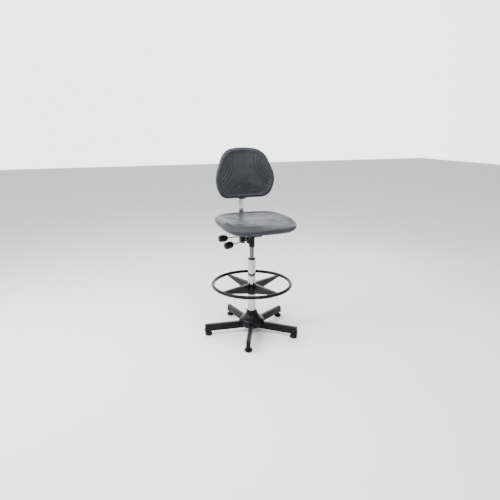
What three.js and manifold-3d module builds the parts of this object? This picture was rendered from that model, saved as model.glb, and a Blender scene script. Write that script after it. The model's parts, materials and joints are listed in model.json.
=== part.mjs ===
// A drafting chair: moulded seat and backrest, lever mechanism, gas column, footring and star base on glides.
// Millimetres, +Z up, floor at z = 0. The sitter faces -Y, so the sitter's right hand is at -X.
// Everything is modelled about the column's axis, and the whole chair then moves over its footprint's middle.

import * as THREE from "three";
import { mergeVertices } from "three/addons/utils/BufferGeometryUtils.js";
import Module from "manifold-3d";

const wasm = await Module();
wasm.setup();

// ---------------------------------------------------------------- driving dimensions

const GAP = 0.3; // between two pieces that touch
const RUNNING = 0.4; // radial room around a piece that turns or slides

const columnAt = { x: 17, y: -11 }; // the column's axis, from the middle of the footprint

const tube = { r: 25, wall: 1.7, bottom: 33 };
const spring = { r: 14, wall: 2, coneTop: 648, guide: 22 };
spring.coneR = spring.r - 0.8;
spring.coneFrom = spring.coneTop - 68;
tube.top = spring.coneTop - 152;
spring.bottom = tube.top - 246;
const bush = { length: 76, collar: 7 };
const foot = { thick: 4 };
const bearing = { washer: 1.7, balls: 6, ballR: 1.6, r: 13 };
const damper = { r: 16, height: 12 };
const rod = { r: 5, bottom: 30, top: tube.top - 51 };
const piston = { height: 18 };
const valve = { r: 3, out: 15, in: 10 };

const base = { arms: 5, firstArm: -115.1, glideCircle: 290, armHeight: 47, armWidth: 25, armWall: 2 };
base.armBottom = 28;
base.armEnd = base.glideCircle + 17;
base.armTop = base.armBottom + base.armHeight;
const hub = { r: tube.r + 7, bottom: base.armBottom + 2, top: base.armTop + 65 };
const cover = { rimR: tube.r + 10, skirtR: hub.r + 50, wall: 3, rimZ: hub.top + 5 };
cover.skirtZ = base.armBottom + 14;
const cap = { face: 3, plug: 36 };
const glide = { r: 25, neckR: 9, stemR: 5, stemTop: 60 };

const ring = { r: 250.5, tubeR: 10.6, z: 331, firstArm: 20.7, arms: 4 };
const collet = { wall: 1.8, flange: 3 };
const star = { bottom: 264, hubWidth: 26, tipWidth: 13, tipHeight: 13, wall: 3 };
star.r = tube.r + GAP + collet.wall + GAP + 2.2;
star.top = ring.z + 2;
const boss = { width: 26, reach: star.r + 6.4, height: 40 };

const pan = { sheet: 3, front: -76, back: 104, halfTop: 78, halfBottom: 48 };
pan.bottom = spring.coneTop + 7;
pan.top = pan.bottom + 48;
const socket = { r: spring.r + 4.5, bottom: spring.coneTop - 70, gussetX: -38, gussetY: -3, gussetThick: 8 };
socket.gussetZ = socket.bottom + 22;

const lever = { r: 3.5, pinR: 3, pinHalf: 17, knobR: 22.5, knobLength: 59, ear: 2.5 };
const tipZ = spring.coneTop + valve.out + lever.r + 1.5;
const liftLever = {
  knob: [-182, -92, tipZ - 40],
  bend: [-48, -64, tipZ - 28],
  pivot: [-34, -43, tipZ - 10],
  tip: [2, -1, tipZ],
};
const tiltLeverX = -pan.halfBottom + 6;
const tiltLeverZ = pan.bottom + 23;
const tiltLever = {
  knob: [-184, 15, tiltLeverZ - 33],
  bend: [-pan.halfBottom - 42, 15, tiltLeverZ - 31],
  rise: [-pan.halfBottom - 34, 15, tiltLeverZ],
  pivot: [tiltLeverX, 15, tiltLeverZ],
  tip: [tiltLeverX + 17, 15, tiltLeverZ],
};

const bar = { width: 34, thick: 12, legFrom: 46, bendR: 52, y: 190, lean: 3 };
const tilt = { y: 74, z: pan.bottom + 17, r: 5, earX: bar.width / 2 + 11, ear: 4 };
bar.legZ = tilt.z - 70;
const clampBlock = {
  x: [-pan.halfBottom - 26, -pan.halfBottom + 1],
  y: [-2, 36],
  z: [pan.bottom - 51, pan.bottom + 13],
};
const yoke = { x: [tiltLeverX - 1, tiltLeverX + 20], y: [4, 22], thick: 5, close: 2 };
yoke.bottom = pan.bottom - 43;

const seat = { half: 226, depth: 226, power: 3.7, y: -46, under: pan.top + GAP, taper: 0.02, drop: 13 };
seat.rim = seat.under + 46.7;
const seatBoard = { halfX: seat.half - 108, halfY: seat.depth - 108, y: seat.y + 38, thick: 12, corner: 30 };
seatBoard.seatGap = 0.4;
const seatBolt = { r: 4, head: 6.5, headHeight: 5.5, depth: 9 };
seatBolt.x = pan.halfTop - 20;
seatBolt.y = [pan.front + 20, pan.back - 20];

const back = { half: 209, height: 320, bottom: seat.rim + 121, curve: 560, front: bar.y - 72, thick: 40 };
back.curlR = 900;
back.curlFrom = back.height - 170;
const backBoard = { half: 78, from: 52, height: back.height - 150, thick: 9 };
const housing = { half: bar.width / 2 + 2.6, depth: bar.thick / 2 + 8, from: -11, fit: 0.6 };
housing.height = backBoard.height + 35;
bar.top = back.bottom + housing.from + housing.height + 2;
const backKnob = { up: backBoard.from + 56, r: 21, depth: 20, screwR: 4 };

// ---------------------------------------------------------------- tools

const chair = new THREE.Group();

const paint = {
  foam: { color: 0x4a4b50, roughness: 0.62, metalness: 0 },
  plastic: { color: 0x17181a, roughness: 0.5, metalness: 0 },
  lacquer: { color: 0x1c1d20, roughness: 0.42, metalness: 0.2 },
  chrome: { color: 0xd9dcde, roughness: 0.08, metalness: 1 },
  steel: { color: 0x9da1a4, roughness: 0.3, metalness: 1 },
  rubber: { color: 0x141414, roughness: 0.8, metalness: 0 },
  wood: { color: 0xa98a5f, roughness: 0.7, metalness: 0 },
};
for (const [name, look] of Object.entries(paint)) {
  paint[name] = new THREE.MeshStandardMaterial({ name, ...look });
}

function solid(geometry) {
  const bare = new THREE.BufferGeometry();
  bare.setAttribute("position", geometry.getAttribute("position"));
  bare.setIndex(geometry.index);
  const merged = mergeVertices(bare, 1e-3);
  return new wasm.Manifold(
    new wasm.Mesh({
      numProp: 3,
      vertProperties: merged.attributes.position.array,
      triVerts: new Uint32Array(merged.index.array),
    }),
  );
}

function geometryOf(made) {
  const mesh = made.getMesh();
  const geometry = new THREE.BufferGeometry();
  const points = new Float32Array(mesh.numVert * 3);
  for (let i = 0; i < mesh.numVert; i++) {
    points.set(mesh.vertProperties.subarray(i * mesh.numProp, i * mesh.numProp + 3), i * 3);
  }
  geometry.setAttribute("position", new THREE.BufferAttribute(points, 3));
  geometry.setIndex(new THREE.BufferAttribute(mesh.triVerts, 1));
  geometry.computeVertexNormals();
  return geometry;
}

// The first geometry without the others.
function cut(geometry, ...others) {
  return geometryOf(others.reduce((left, other) => left.subtract(solid(other)), solid(geometry)));
}

function join(geometry, ...others) {
  return geometryOf(others.reduce((whole, other) => whole.add(solid(other)), solid(geometry)));
}

function piece(name, material, geometry, group = chair) {
  const mesh = new THREE.Mesh(geometry, material);
  mesh.name = name;
  group.add(mesh);
  return mesh;
}

// A body of revolution about Z from its [radius, z] outline, which closes on itself or ends on the axis.
function turned(outline, segments = 24) {
  const points = outline.map(([r, z]) => new THREE.Vector2(r, z));
  if (outline[0][0] > 0) points.push(points[0].clone());
  return new THREE.LatheGeometry(points, segments).rotateX(Math.PI / 2);
}

// A plain pipe or, with no inner radius, a disc.
function pipe(outer, inner, from, to, segments = 20) {
  if (!inner) return turned([[0, from], [outer, from], [outer, to], [0, to]], segments);
  return turned([[inner, from], [outer, from], [outer, to], [inner, to]], segments);
}

// A box from its lowest and highest corners.
function block([x0, y0, z0], [x1, y1, z1]) {
  const made = new THREE.BoxGeometry(x1 - x0, y1 - y0, z1 - z0);
  return made.translate((x0 + x1) / 2, (y0 + y1) / 2, (z0 + z1) / 2);
}

// A cylinder between two points.
function bolt(from, to, r, segments = 12) {
  const a = new THREE.Vector3(...from);
  const b = new THREE.Vector3(...to);
  const made = new THREE.CylinderGeometry(r, r, a.distanceTo(b), segments);
  const along = b.clone().sub(a).normalize();
  const turn = new THREE.Quaternion().setFromUnitVectors(new THREE.Vector3(0, 1, 0), along);
  const middle = a.clone().add(b).multiplyScalar(0.5);
  return made.applyQuaternion(turn).translate(middle.x, middle.y, middle.z);
}

// A closed outline with rounded corners, each given as [x, y, length of edge that the rounding takes].
function roundedShape(corners) {
  const shape = new THREE.Shape();
  corners.forEach(([x, y, round], i) => {
    const corner = new THREE.Vector2(x, y);
    const toward = (k) => {
      const [nx, ny] = corners[(i + k + corners.length) % corners.length];
      return new THREE.Vector2(nx, ny).sub(corner).setLength(round).add(corner);
    };
    const start = toward(-1);
    const end = toward(1);
    if (i === 0) shape.moveTo(start.x, start.y);
    else shape.lineTo(start.x, start.y);
    shape.quadraticCurveTo(x, y, end.x, end.y);
  });
  shape.closePath();
  return shape;
}

// A flat plate in XY of that outline, from one height to the other.
function plate(shape, from, to, curveSegments = 6) {
  const made = new THREE.ExtrudeGeometry(shape, { depth: to - from, bevelEnabled: false, curveSegments });
  return made.translate(0, 0, from);
}

const roundedBox = (halfX, y0, y1, corner) =>
  roundedShape([[-halfX, y0, corner], [halfX, y0, corner], [halfX, y1, corner], [-halfX, y1, corner]]);

// A round bar swept along straight runs with rounded bends.
function bentRod(points, r, bend = 12) {
  const path = new THREE.CurvePath();
  const corners = points.map((p) => new THREE.Vector3(...p));
  let from = corners[0];
  for (let i = 1; i < corners.length; i++) {
    if (i === corners.length - 1) {
      path.add(new THREE.LineCurve3(from, corners[i]));
      break;
    }
    const before = corners[i - 1].clone().sub(corners[i]).setLength(bend).add(corners[i]);
    const after = corners[i + 1].clone().sub(corners[i]).setLength(bend).add(corners[i]);
    path.add(new THREE.LineCurve3(from, before));
    path.add(new THREE.QuadraticBezierCurve3(before, corners[i], after));
    from = after;
  }
  const circle = new THREE.Shape().absarc(0, 0, r, 0, Math.PI * 2);
  return new THREE.ExtrudeGeometry(circle, { steps: 20, extrudePath: path, curveSegments: 4 });
}

// A lathe of a [share of the outline, height] profile, stretched out to a closed outline of [x, y] points.
function stretchedLathe(profile, outline) {
  const geometry = new THREE.LatheGeometry(profile.map(([u, z]) => new THREE.Vector2(u, z)), outline.length);
  const position = geometry.getAttribute("position");
  for (let k = 0; k < position.count; k++) {
    const [x, y] = outline[Math.floor(k / profile.length) % outline.length];
    const [u, z] = profile[k % profile.length];
    position.setXYZ(k, u * x, u * y, z);
  }
  return geometry;
}

function bend(geometry, move) {
  const position = geometry.getAttribute("position");
  for (let k = 0; k < position.count; k++) {
    position.setXYZ(k, ...move(position.getX(k), position.getY(k), position.getZ(k)));
  }
  return geometry;
}

const turnZ = (geometry, degrees) => geometry.rotateZ(THREE.MathUtils.degToRad(degrees));

// ---------------------------------------------------------------- base

function armTube() {
  const half = base.armWidth / 2;
  const outer = block([hub.r + GAP, -half, base.armBottom], [base.armEnd, half, base.armTop]);
  const w = base.armWall;
  const inner = block([0, -half + w, base.armBottom + w], [base.armEnd + 1, half - w, base.armTop - w]);
  const stemHole = bolt([base.glideCircle, 0, 0], [base.glideCircle, 0, base.armBottom + 5], glide.stemR + 1);
  return cut(outer, inner, stemHole);
}

// The end cap's plug fills the arm's mouth and holds the glide's stem.
function endCap() {
  const half = base.armWidth / 2;
  const room = base.armWall + GAP;
  const face = roundedShape([
    [-half, base.armBottom, 2],
    [half, base.armBottom, 2],
    [half, base.armTop, 2],
    [-half, base.armTop, 2],
  ]);
  const disc = new THREE.ExtrudeGeometry(face, { depth: cap.face, bevelEnabled: false, curveSegments: 3 })
    .rotateX(Math.PI / 2)
    .rotateZ(Math.PI / 2)
    .translate(base.armEnd + GAP, 0, 0);
  const plug = block(
    [base.armEnd - cap.plug, -half + room, base.armBottom + room],
    [base.armEnd + GAP + 1, half - room, base.armTop - room],
  );
  const at = base.glideCircle;
  const stem = bolt([at, 0, 0], [at, 0, glide.stemTop + 2], glide.stemR + RUNNING);
  return cut(join(disc, plug), stem);
}

function glideShape() {
  const neckTop = base.armBottom - GAP;
  const outline = [
    [0, 0],
    [glide.r - 6, 0],
    [glide.r - 2, 3],
    [glide.r, 9],
    [glide.r - 1, 14],
    [glide.r - 6, 19.5],
    [glide.neckR + 3, 23],
    [glide.neckR, 25],
    [glide.neckR, neckTop],
    [glide.stemR, neckTop],
    [glide.stemR, glide.stemTop],
    [0, glide.stemTop],
  ];
  return turned(outline, 20).translate(base.glideCircle, 0, 0);
}

for (let k = 0; k < base.arms; k++) {
  const angle = base.firstArm + (k * 360) / base.arms;
  piece(`base_arm_${k + 1}`, paint.lacquer, turnZ(armTube(), angle));
  piece(`arm_end_cap_${k + 1}`, paint.plastic, turnZ(endCap(), angle));
  piece(`glide_${k + 1}`, paint.plastic, turnZ(glideShape(), angle));
}

piece("base_hub", paint.lacquer, pipe(hub.r, tube.r + GAP, hub.bottom, hub.top, 32));

// The moulded cover: a rim round the column that flares out over the roots of the arms.
function hubCover() {
  const c = cover;
  const outside = [
    [c.skirtR - 9, c.skirtZ],
    [c.skirtR - 2, base.armTop - 9],
    [c.skirtR, base.armTop + 5],
    [c.skirtR - 5, base.armTop + 16],
    [c.rimR + 16, base.armTop + 31],
    [c.rimR + 5, base.armTop + 47],
    [c.rimR, c.rimZ - 5],
    [c.rimR, c.rimZ],
  ];
  const under = outside.slice(0, 6).map(([r, z], i) => [Math.max(r - c.wall, hub.r + GAP), i ? z - 1 : z]);
  const lip = hub.top + GAP;
  const inside = [[tube.r + GAP, c.rimZ], [tube.r + GAP, lip], [hub.r + GAP, lip], ...under.reverse()];
  const shell = turned([...outside, ...inside], 35);
  const room = 0.6;
  const slots = [];
  for (let k = 0; k < base.arms; k++) {
    const half = base.armWidth / 2 + room;
    const slot = block([0, -half, 0], [c.skirtR + 41, half, base.armTop + room]);
    slots.push(turnZ(slot, base.firstArm + (k * 360) / base.arms));
  }
  return cut(shell, ...slots);
}
piece("hub_cover", paint.plastic, hubCover());

// ---------------------------------------------------------------- column

const boreR = tube.r - tube.wall;
piece("column_tube", paint.chrome, pipe(tube.r, boreR, tube.bottom, tube.top, 40));
piece(
  "guide_bush",
  paint.plastic,
  turned(
    [
      [spring.r + RUNNING, tube.top - bush.length],
      [boreR - GAP, tube.top - bush.length],
      [boreR - GAP, tube.top + GAP],
      [tube.r, tube.top + GAP],
      [tube.r, tube.top + bush.collar - 2],
      [tube.r - 2, tube.top + bush.collar],
      [spring.r + 4, tube.top + bush.collar],
      [spring.r + RUNNING, tube.top + bush.collar - 3],
    ],
    32,
  ),
);

let z = tube.bottom + 3;
piece("column_foot", paint.steel, pipe(boreR - GAP, rod.r + RUNNING, z, z + foot.thick));
piece("rod_clip", paint.steel, pipe(rod.r + 5, rod.r - 1, z - 2.3, z - GAP, 20));
z += foot.thick + GAP;
piece("bearing_lower_washer", paint.steel, pipe(bearing.r + 1, rod.r + RUNNING, z, z + bearing.washer));
z += bearing.washer + GAP;
const balls = [];
for (let k = 0; k < bearing.balls; k++) {
  const ball = new THREE.SphereGeometry(bearing.ballR, 7, 5).translate(bearing.r - 4, 0, z + bearing.ballR);
  balls.push(turnZ(ball, (k * 360) / bearing.balls));
}
const cage = pipe(bearing.r, rod.r + RUNNING, z + bearing.ballR - 0.8, z + bearing.ballR + 0.8, 16);
piece("bearing_ball_cage", paint.steel, join(cage, ...balls));
z += 2 * bearing.ballR + GAP;
piece("bearing_upper_washer", paint.steel, pipe(bearing.r + 1, rod.r + GAP, z, z + bearing.washer));
z += bearing.washer + GAP;
piece("column_damper", paint.rubber, pipe(damper.r, rod.r + GAP, z, z + damper.height, 24));

const groove = { from: tube.bottom + 3 - 2.6, to: tube.bottom + 3 };
piece(
  "piston_rod",
  paint.steel,
  turned(
    [
      [0, rod.bottom],
      [rod.r, rod.bottom],
      [rod.r, groove.from],
      [rod.r - 1.3, groove.from],
      [rod.r - 1.3, groove.to],
      [rod.r, groove.to],
      [rod.r, rod.top - piston.height],
      [rod.r - 1.5, rod.top - piston.height],
      [rod.r - 1.5, rod.top],
      [0, rod.top],
    ],
    24,
  ),
);
const pistonR = spring.r - spring.wall - RUNNING;
piece("piston", paint.steel, pipe(pistonR, rod.r - 1.5 + GAP, rod.top - piston.height + GAP, rod.top));

piece(
  "pressure_tube",
  paint.chrome,
  turned(
    [
      [rod.r + RUNNING, spring.bottom],
      [spring.r, spring.bottom],
      [spring.r, spring.coneFrom],
      [spring.coneR, spring.coneTop],
      [valve.r + RUNNING, spring.coneTop],
      [valve.r + RUNNING, spring.coneTop - 22],
      [spring.r - spring.wall - 1, spring.coneTop - 22],
      [spring.r - spring.wall, spring.coneTop - 26],
      [spring.r - spring.wall, spring.bottom + spring.guide],
      [rod.r + RUNNING, spring.bottom + spring.guide],
    ],
    28,
  ),
);
piece("valve_pin", paint.steel, pipe(valve.r, 0, spring.coneTop - valve.in, spring.coneTop + valve.out, 16));

// ---------------------------------------------------------------- footring

piece("footring", paint.lacquer, new THREE.TorusGeometry(ring.r, ring.tubeR, 10, 56).translate(0, 0, ring.z));

// One arm of the star: a channel open below, deep at the hub and slim at the ring.
function starArm() {
  const s = star;
  const far = ring.r;
  const wedge = (inset, top, reach) => {
    const outline = new THREE.Shape();
    outline.moveTo(s.r - 8, s.bottom + 2 - inset);
    outline.lineTo(reach, s.top - s.tipHeight - inset);
    outline.lineTo(reach, top);
    outline.lineTo(s.r - 8, top);
    outline.closePath();
    const wide = s.hubWidth / 2 - inset;
    const made = new THREE.ExtrudeGeometry(outline, { depth: 2, bevelEnabled: false });
    return bend(made, (x, y, w) => {
      const share = (x - s.r + 8) / (far - s.r + 8);
      const half = wide + (s.tipWidth / 2 - s.hubWidth / 2) * share;
      return [x, (1 - w) * half, y];
    });
  };
  const shell = cut(wedge(0, s.top, far), wedge(s.wall, s.top - s.wall, far - 24));
  return shell;
}

function footringStar() {
  const s = star;
  let whole = solid(pipe(s.r, 0, s.bottom, s.top, 36));
  for (let k = 0; k < ring.arms; k++) {
    whole = whole.add(solid(turnZ(starArm(), ring.firstArm + (k * 360) / ring.arms)));
  }
  const bossAt = ring.firstArm - 180 + 45;
  const lug = block([0, -boss.width / 2, s.top - boss.height - 12], [boss.reach, boss.width / 2, s.top - 12]);
  whole = whole.add(solid(turnZ(lug, bossAt)));
  const screwZ = s.top - 12 - boss.height / 2;
  const hole = join(
    bolt([0, 0, screwZ], [boss.reach + 1, 0, screwZ], 4 + RUNNING),
    bolt([boss.reach - 5, 0, screwZ], [boss.reach + 1, 0, screwZ], 6.5 + RUNNING),
  );
  whole = whole.subtract(solid(turnZ(hole, bossAt)));
  whole = whole.subtract(solid(pipe(tube.r + GAP + collet.wall + GAP, 0, s.bottom - 1, s.top + 1, 36)));
  const seatOfRing = new THREE.TorusGeometry(ring.r, ring.tubeR + GAP, 10, 56).translate(0, 0, ring.z);
  return geometryOf(whole.subtract(solid(seatOfRing)));
}
piece("footring_star", paint.lacquer, footringStar());

const slit = block([0, -1.5, star.bottom - 10], [60, 1.5, star.top + 10]);
const sleeve = turned(
  [
    [tube.r + GAP, star.bottom - GAP - collet.flange],
    [star.r - 1, star.bottom - GAP - collet.flange],
    [star.r - 1, star.bottom - GAP],
    [tube.r + GAP + collet.wall, star.bottom - GAP],
    [tube.r + GAP + collet.wall, star.top - 1],
    [tube.r + GAP, star.top - 1],
  ],
  36,
);
piece("footring_collet", paint.plastic, cut(sleeve, turnZ(slit, ring.firstArm + 45)));

function clampScrew() {
  const screwZ = star.top - 12 - boss.height / 2;
  const start = tube.r + GAP + collet.wall + GAP;
  const shank = bolt([start, 0, screwZ], [boss.reach - 4, 0, screwZ], 4, 18);
  const head = bolt([boss.reach - 4.6, 0, screwZ], [boss.reach + 3, 0, screwZ], 6.5, 24);
  const key = bolt([boss.reach - 1, 0, screwZ], [boss.reach + 4, 0, screwZ], 3.4, 6);
  return turnZ(cut(join(shank, head), key), ring.firstArm - 180 + 45);
}
piece("footring_clamp_screw", paint.steel, clampScrew());

// ---------------------------------------------------------------- mechanism

// Half the pan's width outside, at a height on its sloping walls.
function panHalf(height) {
  const share = (height - pan.bottom) / (pan.top - pan.bottom);
  return pan.halfBottom + (pan.halfTop - pan.halfBottom) * share;
}

// The pressed pan under the seat: a top sheet with sloping walls.
function seatPan() {
  const p = pan;
  const wedge = (inset, low, high) => {
    const outline = roundedBox(1, -1, 1, 0.22);
    const made = plate(outline, low, high, 4);
    return bend(made, (x, y, w) => {
      const share = (w - p.bottom) / (p.top - p.bottom);
      const half = panHalf(w) - inset;
      const middle = (p.front + p.back) / 2;
      const reach = (p.back - p.front) / 2 - inset - (1 - share) * 6;
      return [x * half, middle + y * reach, w];
    });
  };
  const holes = [];
  for (const x of [-seatBolt.x, seatBolt.x]) {
    for (const y of seatBolt.y) holes.push(bolt([x, y, p.top - 10], [x, y, p.top + 5], seatBolt.r + 0.5));
  }
  const axle = bolt([-120, tilt.y, tilt.z], [120, tilt.y, tilt.z], tilt.r + GAP);
  const [, slotY, slotZ] = tiltLever.pivot;
  const leverSlot = block([-120, slotY - 6, slotZ - 9], [-p.halfBottom - 2, slotY + 6, slotZ + 12]);
  const barSlot = block([-tilt.earX - 8, 60, 600], [tilt.earX + 8, 160, p.top - 26]);
  const hollow = wedge(p.sheet, p.bottom - 5, p.top - p.sheet);
  return cut(wedge(0, p.bottom, p.top), hollow, ...holes, axle, leverSlot, barSlot);
}
piece("seat_pan", paint.lacquer, seatPan());

// The socket that grips the gas spring's cone, with a window for the lift lever's tip.
function taperSocket() {
  const wall = turned(
    [
      [spring.r + GAP, socket.bottom],
      [socket.r - 1, socket.bottom],
      [socket.r, socket.bottom + 1.5],
      [socket.r, pan.top - pan.sheet - GAP],
      [spring.coneR + GAP, pan.top - pan.sheet - GAP],
      [spring.coneR + GAP, spring.coneTop],
    ],
    28,
  );
  const [x0, y0] = liftLever.pivot;
  const [x1, y1, high] = liftLever.tip;
  const window = block([0, -lever.r - 2, high - 18], [60, lever.r + 2, high + 14]);
  window.rotateZ(Math.atan2(y0 - y1, x0 - x1)).translate(x1, y1, 0);
  const fin = new THREE.Shape();
  const far = socket.gussetX;
  const root = -(spring.r + 1);
  fin.moveTo(root, socket.gussetZ);
  fin.lineTo(-socket.r - 5, socket.gussetZ);
  fin.quadraticCurveTo(far, socket.gussetZ + 4, far, socket.gussetZ + 26);
  fin.lineTo(far, pan.top - pan.sheet - GAP);
  fin.lineTo(root, pan.top - pan.sheet - GAP);
  fin.closePath();
  const depth = socket.gussetThick;
  const gusset = new THREE.ExtrudeGeometry(fin, { depth, bevelEnabled: false, curveSegments: 5 })
    .rotateX(Math.PI / 2)
    .translate(0, socket.gussetY, 0);
  return cut(join(wall, gusset), window);
}
piece("taper_socket", paint.lacquer, taperSocket());

// A hand lever: a bent rod with a cross pin, and a round grip on its outer end.
function leverRod(at) {
  const pin = bolt(
    [at.pivot[0], at.pivot[1] - lever.pinHalf, at.pivot[2]],
    [at.pivot[0], at.pivot[1] + lever.pinHalf, at.pivot[2]],
    lever.pinR,
    16,
  );
  const run = [at.knob, at.bend, at.rise, at.pivot, at.tip].filter(Boolean);
  return join(bentRod(run, lever.r, 10), pin);
}

function leverKnob(at) {
  const half = lever.knobLength / 2;
  const r = lever.knobR;
  const hole = lever.r + GAP;
  const outline = [
    [0, -half],
    [r * 0.55, -half],
    [r * 0.88, -half + 5],
    [r, -3],
    [r * 0.94, half * 0.5],
    [r * 0.74, half - 5],
    [r * 0.5, half],
    [hole, half],
    [hole, -GAP],
    [0, -GAP],
  ];
  const along = new THREE.Vector3(...at.bend).sub(new THREE.Vector3(...at.knob)).normalize();
  const turn = new THREE.Quaternion().setFromUnitVectors(new THREE.Vector3(0, 0, 1), along);
  return turned(outline, 20).applyQuaternion(turn).translate(...at.knob);
}

// Two ears that carry a lever's cross pin, hanging from the pan.
function leverBracket(at) {
  const [x, y, pz] = at.pivot;
  const top = pan.top - pan.sheet - GAP;
  const reach = lever.pinHalf;
  const web = block([x - 8, y - reach, top - 3], [x + 8, y + reach, top]);
  const ears = [-1, 1].map((side) => {
    const inner = y + side * (reach - lever.ear);
    const outer = y + side * reach;
    return block([x - 6, Math.min(inner, outer), pz - 7], [x + 6, Math.max(inner, outer), top - 1]);
  });
  const hole = bolt([x, y - 30, pz], [x, y + 30, pz], lever.pinR + RUNNING, 18);
  return cut(join(web, ...ears), hole);
}

for (const [name, at] of [["lift", liftLever], ["tilt", tiltLever]]) {
  piece(`${name}_lever_rod`, paint.chrome, leverRod(at));
  piece(`${name}_lever_knob`, paint.plastic, leverKnob(at));
  piece(`${name}_lever_bracket`, paint.steel, leverBracket(at));
}

const axleEnd = panHalf(tilt.z) + 4;
piece("tilt_axle", paint.steel, bolt([-axleEnd, tilt.y, tilt.z], [axleEnd, tilt.y, tilt.z], tilt.r, 20));

const barBoltY = bar.legFrom + 40;

// The rocker that swings on the axle and carries the back bar.
function backRocker() {
  const low = bar.legZ + bar.thick / 2 + GAP;
  const side = new THREE.Shape();
  side.moveTo(bar.legFrom + 4, low);
  side.lineTo(bar.legFrom + 84, low);
  side.lineTo(bar.legFrom + 84, low + 12);
  side.lineTo(tilt.y + 16, tilt.z + 2);
  side.absarc(tilt.y, tilt.z, 13, 0.2, Math.PI - 0.3, false);
  side.lineTo(bar.legFrom + 4, low + 24);
  side.closePath();
  const ear = (x) =>
    new THREE.ExtrudeGeometry(side, { depth: tilt.ear, bevelEnabled: false, curveSegments: 8 })
      .rotateX(Math.PI / 2)
      .rotateZ(Math.PI / 2)
      .translate(x, 0, 0);
  const web = block([-tilt.earX, bar.legFrom + 4, low], [tilt.earX, bar.legFrom + 84, low + 4]);
  const hole = bolt([0, barBoltY, low - 5], [0, barBoltY, low + 10], 5 + GAP);
  const axle = bolt([-60, tilt.y, tilt.z], [60, tilt.y, tilt.z], tilt.r + RUNNING, 24);
  return cut(join(web, ear(-tilt.earX), ear(tilt.earX - tilt.ear)), axle, hole);
}
piece("back_rocker", paint.lacquer, backRocker());

// The return spring on the axle, wound between the rocker's ears, with both legs out.
function tiltSpring() {
  const coil = tilt.r + 4.2;
  const turns = 4;
  class Winding extends THREE.Curve {
    getPoint(t, target = new THREE.Vector3()) {
      const a = t * turns * Math.PI * 2;
      return target.set(-15 + 30 * t, tilt.y + coil * Math.cos(a), tilt.z + coil * Math.sin(a));
    }
  }
  const wire = new THREE.Shape().absarc(0, 0, 1.8, 0, Math.PI * 2);
  return new THREE.ExtrudeGeometry(wire, { steps: 56, extrudePath: new Winding(), curveSegments: 3 });
}
piece("tilt_spring", paint.steel, tiltSpring());

// The friction block that holds the rocker's angle, bolted inside the pan's left side.
function clampBody() {
  const [x0, x1] = clampBlock.x;
  const [y0, y1] = clampBlock.y;
  const [z0, z1] = clampBlock.z;
  const wallX = (height) => -panHalf(height) - 1;
  const face = roundedShape([
    [x0, z0 + 6, 5],
    [x1, z0, 8],
    [x1, pan.bottom - 2, 1],
    [wallX(pan.bottom), pan.bottom - 1, 1],
    [wallX(z1), z1, 3],
    [x0, z1, 3],
  ]);
  const body = new THREE.ExtrudeGeometry(face, { depth: y1 - y0, bevelEnabled: false, curveSegments: 5 })
    .rotateX(Math.PI / 2)
    .translate(0, y1, 0);
  const ribs = [];
  for (let k = 1; k < 4; k++) {
    const x = x0 + (k * (x1 - x0)) / 4;
    ribs.push(block([x - 1.6, y0 - 1, z0 + 9], [x + 1.6, y0 + 3, pan.bottom - 6]));
  }
  return cut(body, ...ribs);
}
piece("tilt_clamp_block", paint.plastic, clampBody());

// The steel strap that hangs from the tilt lever's bracket and pulls the friction block tight.
function clampYoke() {
  const [x0, x1] = yoke.x;
  const [y0, y1] = yoke.y;
  const t = yoke.thick;
  const top = tiltLever.pivot[2] - 7 - GAP;
  const r = (x1 - x0) / 2 - yoke.close;
  const middle = (x0 + x1) / 2;
  const side = new THREE.Shape();
  side.moveTo(x0, top);
  side.lineTo(middle - r, yoke.bottom + r);
  side.absarc(middle, yoke.bottom + r, r, Math.PI, Math.PI * 2, false);
  side.lineTo(x1, top);
  side.lineTo(x1 - t, top);
  side.lineTo(middle + r - t, yoke.bottom + r);
  side.absarc(middle, yoke.bottom + r, r - t, Math.PI * 2, Math.PI, true);
  side.lineTo(x0 + t, top);
  side.closePath();
  return new THREE.ExtrudeGeometry(side, { depth: y1 - y0, bevelEnabled: false, curveSegments: 6 })
    .rotateX(Math.PI / 2)
    .translate(0, y1, 0);
}
piece("tilt_clamp_strap", paint.steel, clampYoke());

// ---------------------------------------------------------------- back bar

const leanRad = THREE.MathUtils.degToRad(bar.lean);
const up = { y: Math.sin(leanRad), z: Math.cos(leanRad) };
// The upright's middle line at a height.
const barY = (height) => bar.y + ((height - bar.legZ - bar.bendR) * up.y) / up.z;

// A flat-oval bar: a leg forward under the seat, one round bend, and a leaning upright.
function backBar() {
  const profile = new THREE.Shape();
  const half = bar.thick / 2;
  const flat = bar.width / 2 - half;
  profile.absarc(0, flat, half, 0, Math.PI, false);
  profile.absarc(0, -flat, half, Math.PI, Math.PI * 2, false);
  profile.closePath();
  const path = new THREE.CurvePath();
  const middle = { y: bar.y - bar.bendR, z: bar.legZ + bar.bendR };
  const r = bar.bendR;
  const on = (a) => new THREE.Vector3(0, middle.y + r * Math.sin(a), middle.z - r * Math.cos(a));
  class Bend extends THREE.Curve {
    getPoint(t, target = new THREE.Vector3()) {
      return target.copy(on(t * (Math.PI / 2 - leanRad)));
    }
  }
  const turnEnd = on(Math.PI / 2 - leanRad);
  const top = new THREE.Vector3(0, turnEnd.y + ((bar.top - turnEnd.z) * up.y) / up.z, bar.top);
  path.add(new THREE.LineCurve3(new THREE.Vector3(0, bar.legFrom, bar.legZ), on(0)));
  path.add(new Bend());
  path.add(new THREE.LineCurve3(turnEnd, top));
  const made = new THREE.ExtrudeGeometry(profile, { steps: 26, extrudePath: path, curveSegments: 5 });
  const low = bar.legZ + bar.thick / 2;
  return cut(made, bolt([0, barBoltY, low - 9], [0, barBoltY, low + 9], 5 + GAP));
}
piece("back_bar", paint.chrome, backBar());

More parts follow.
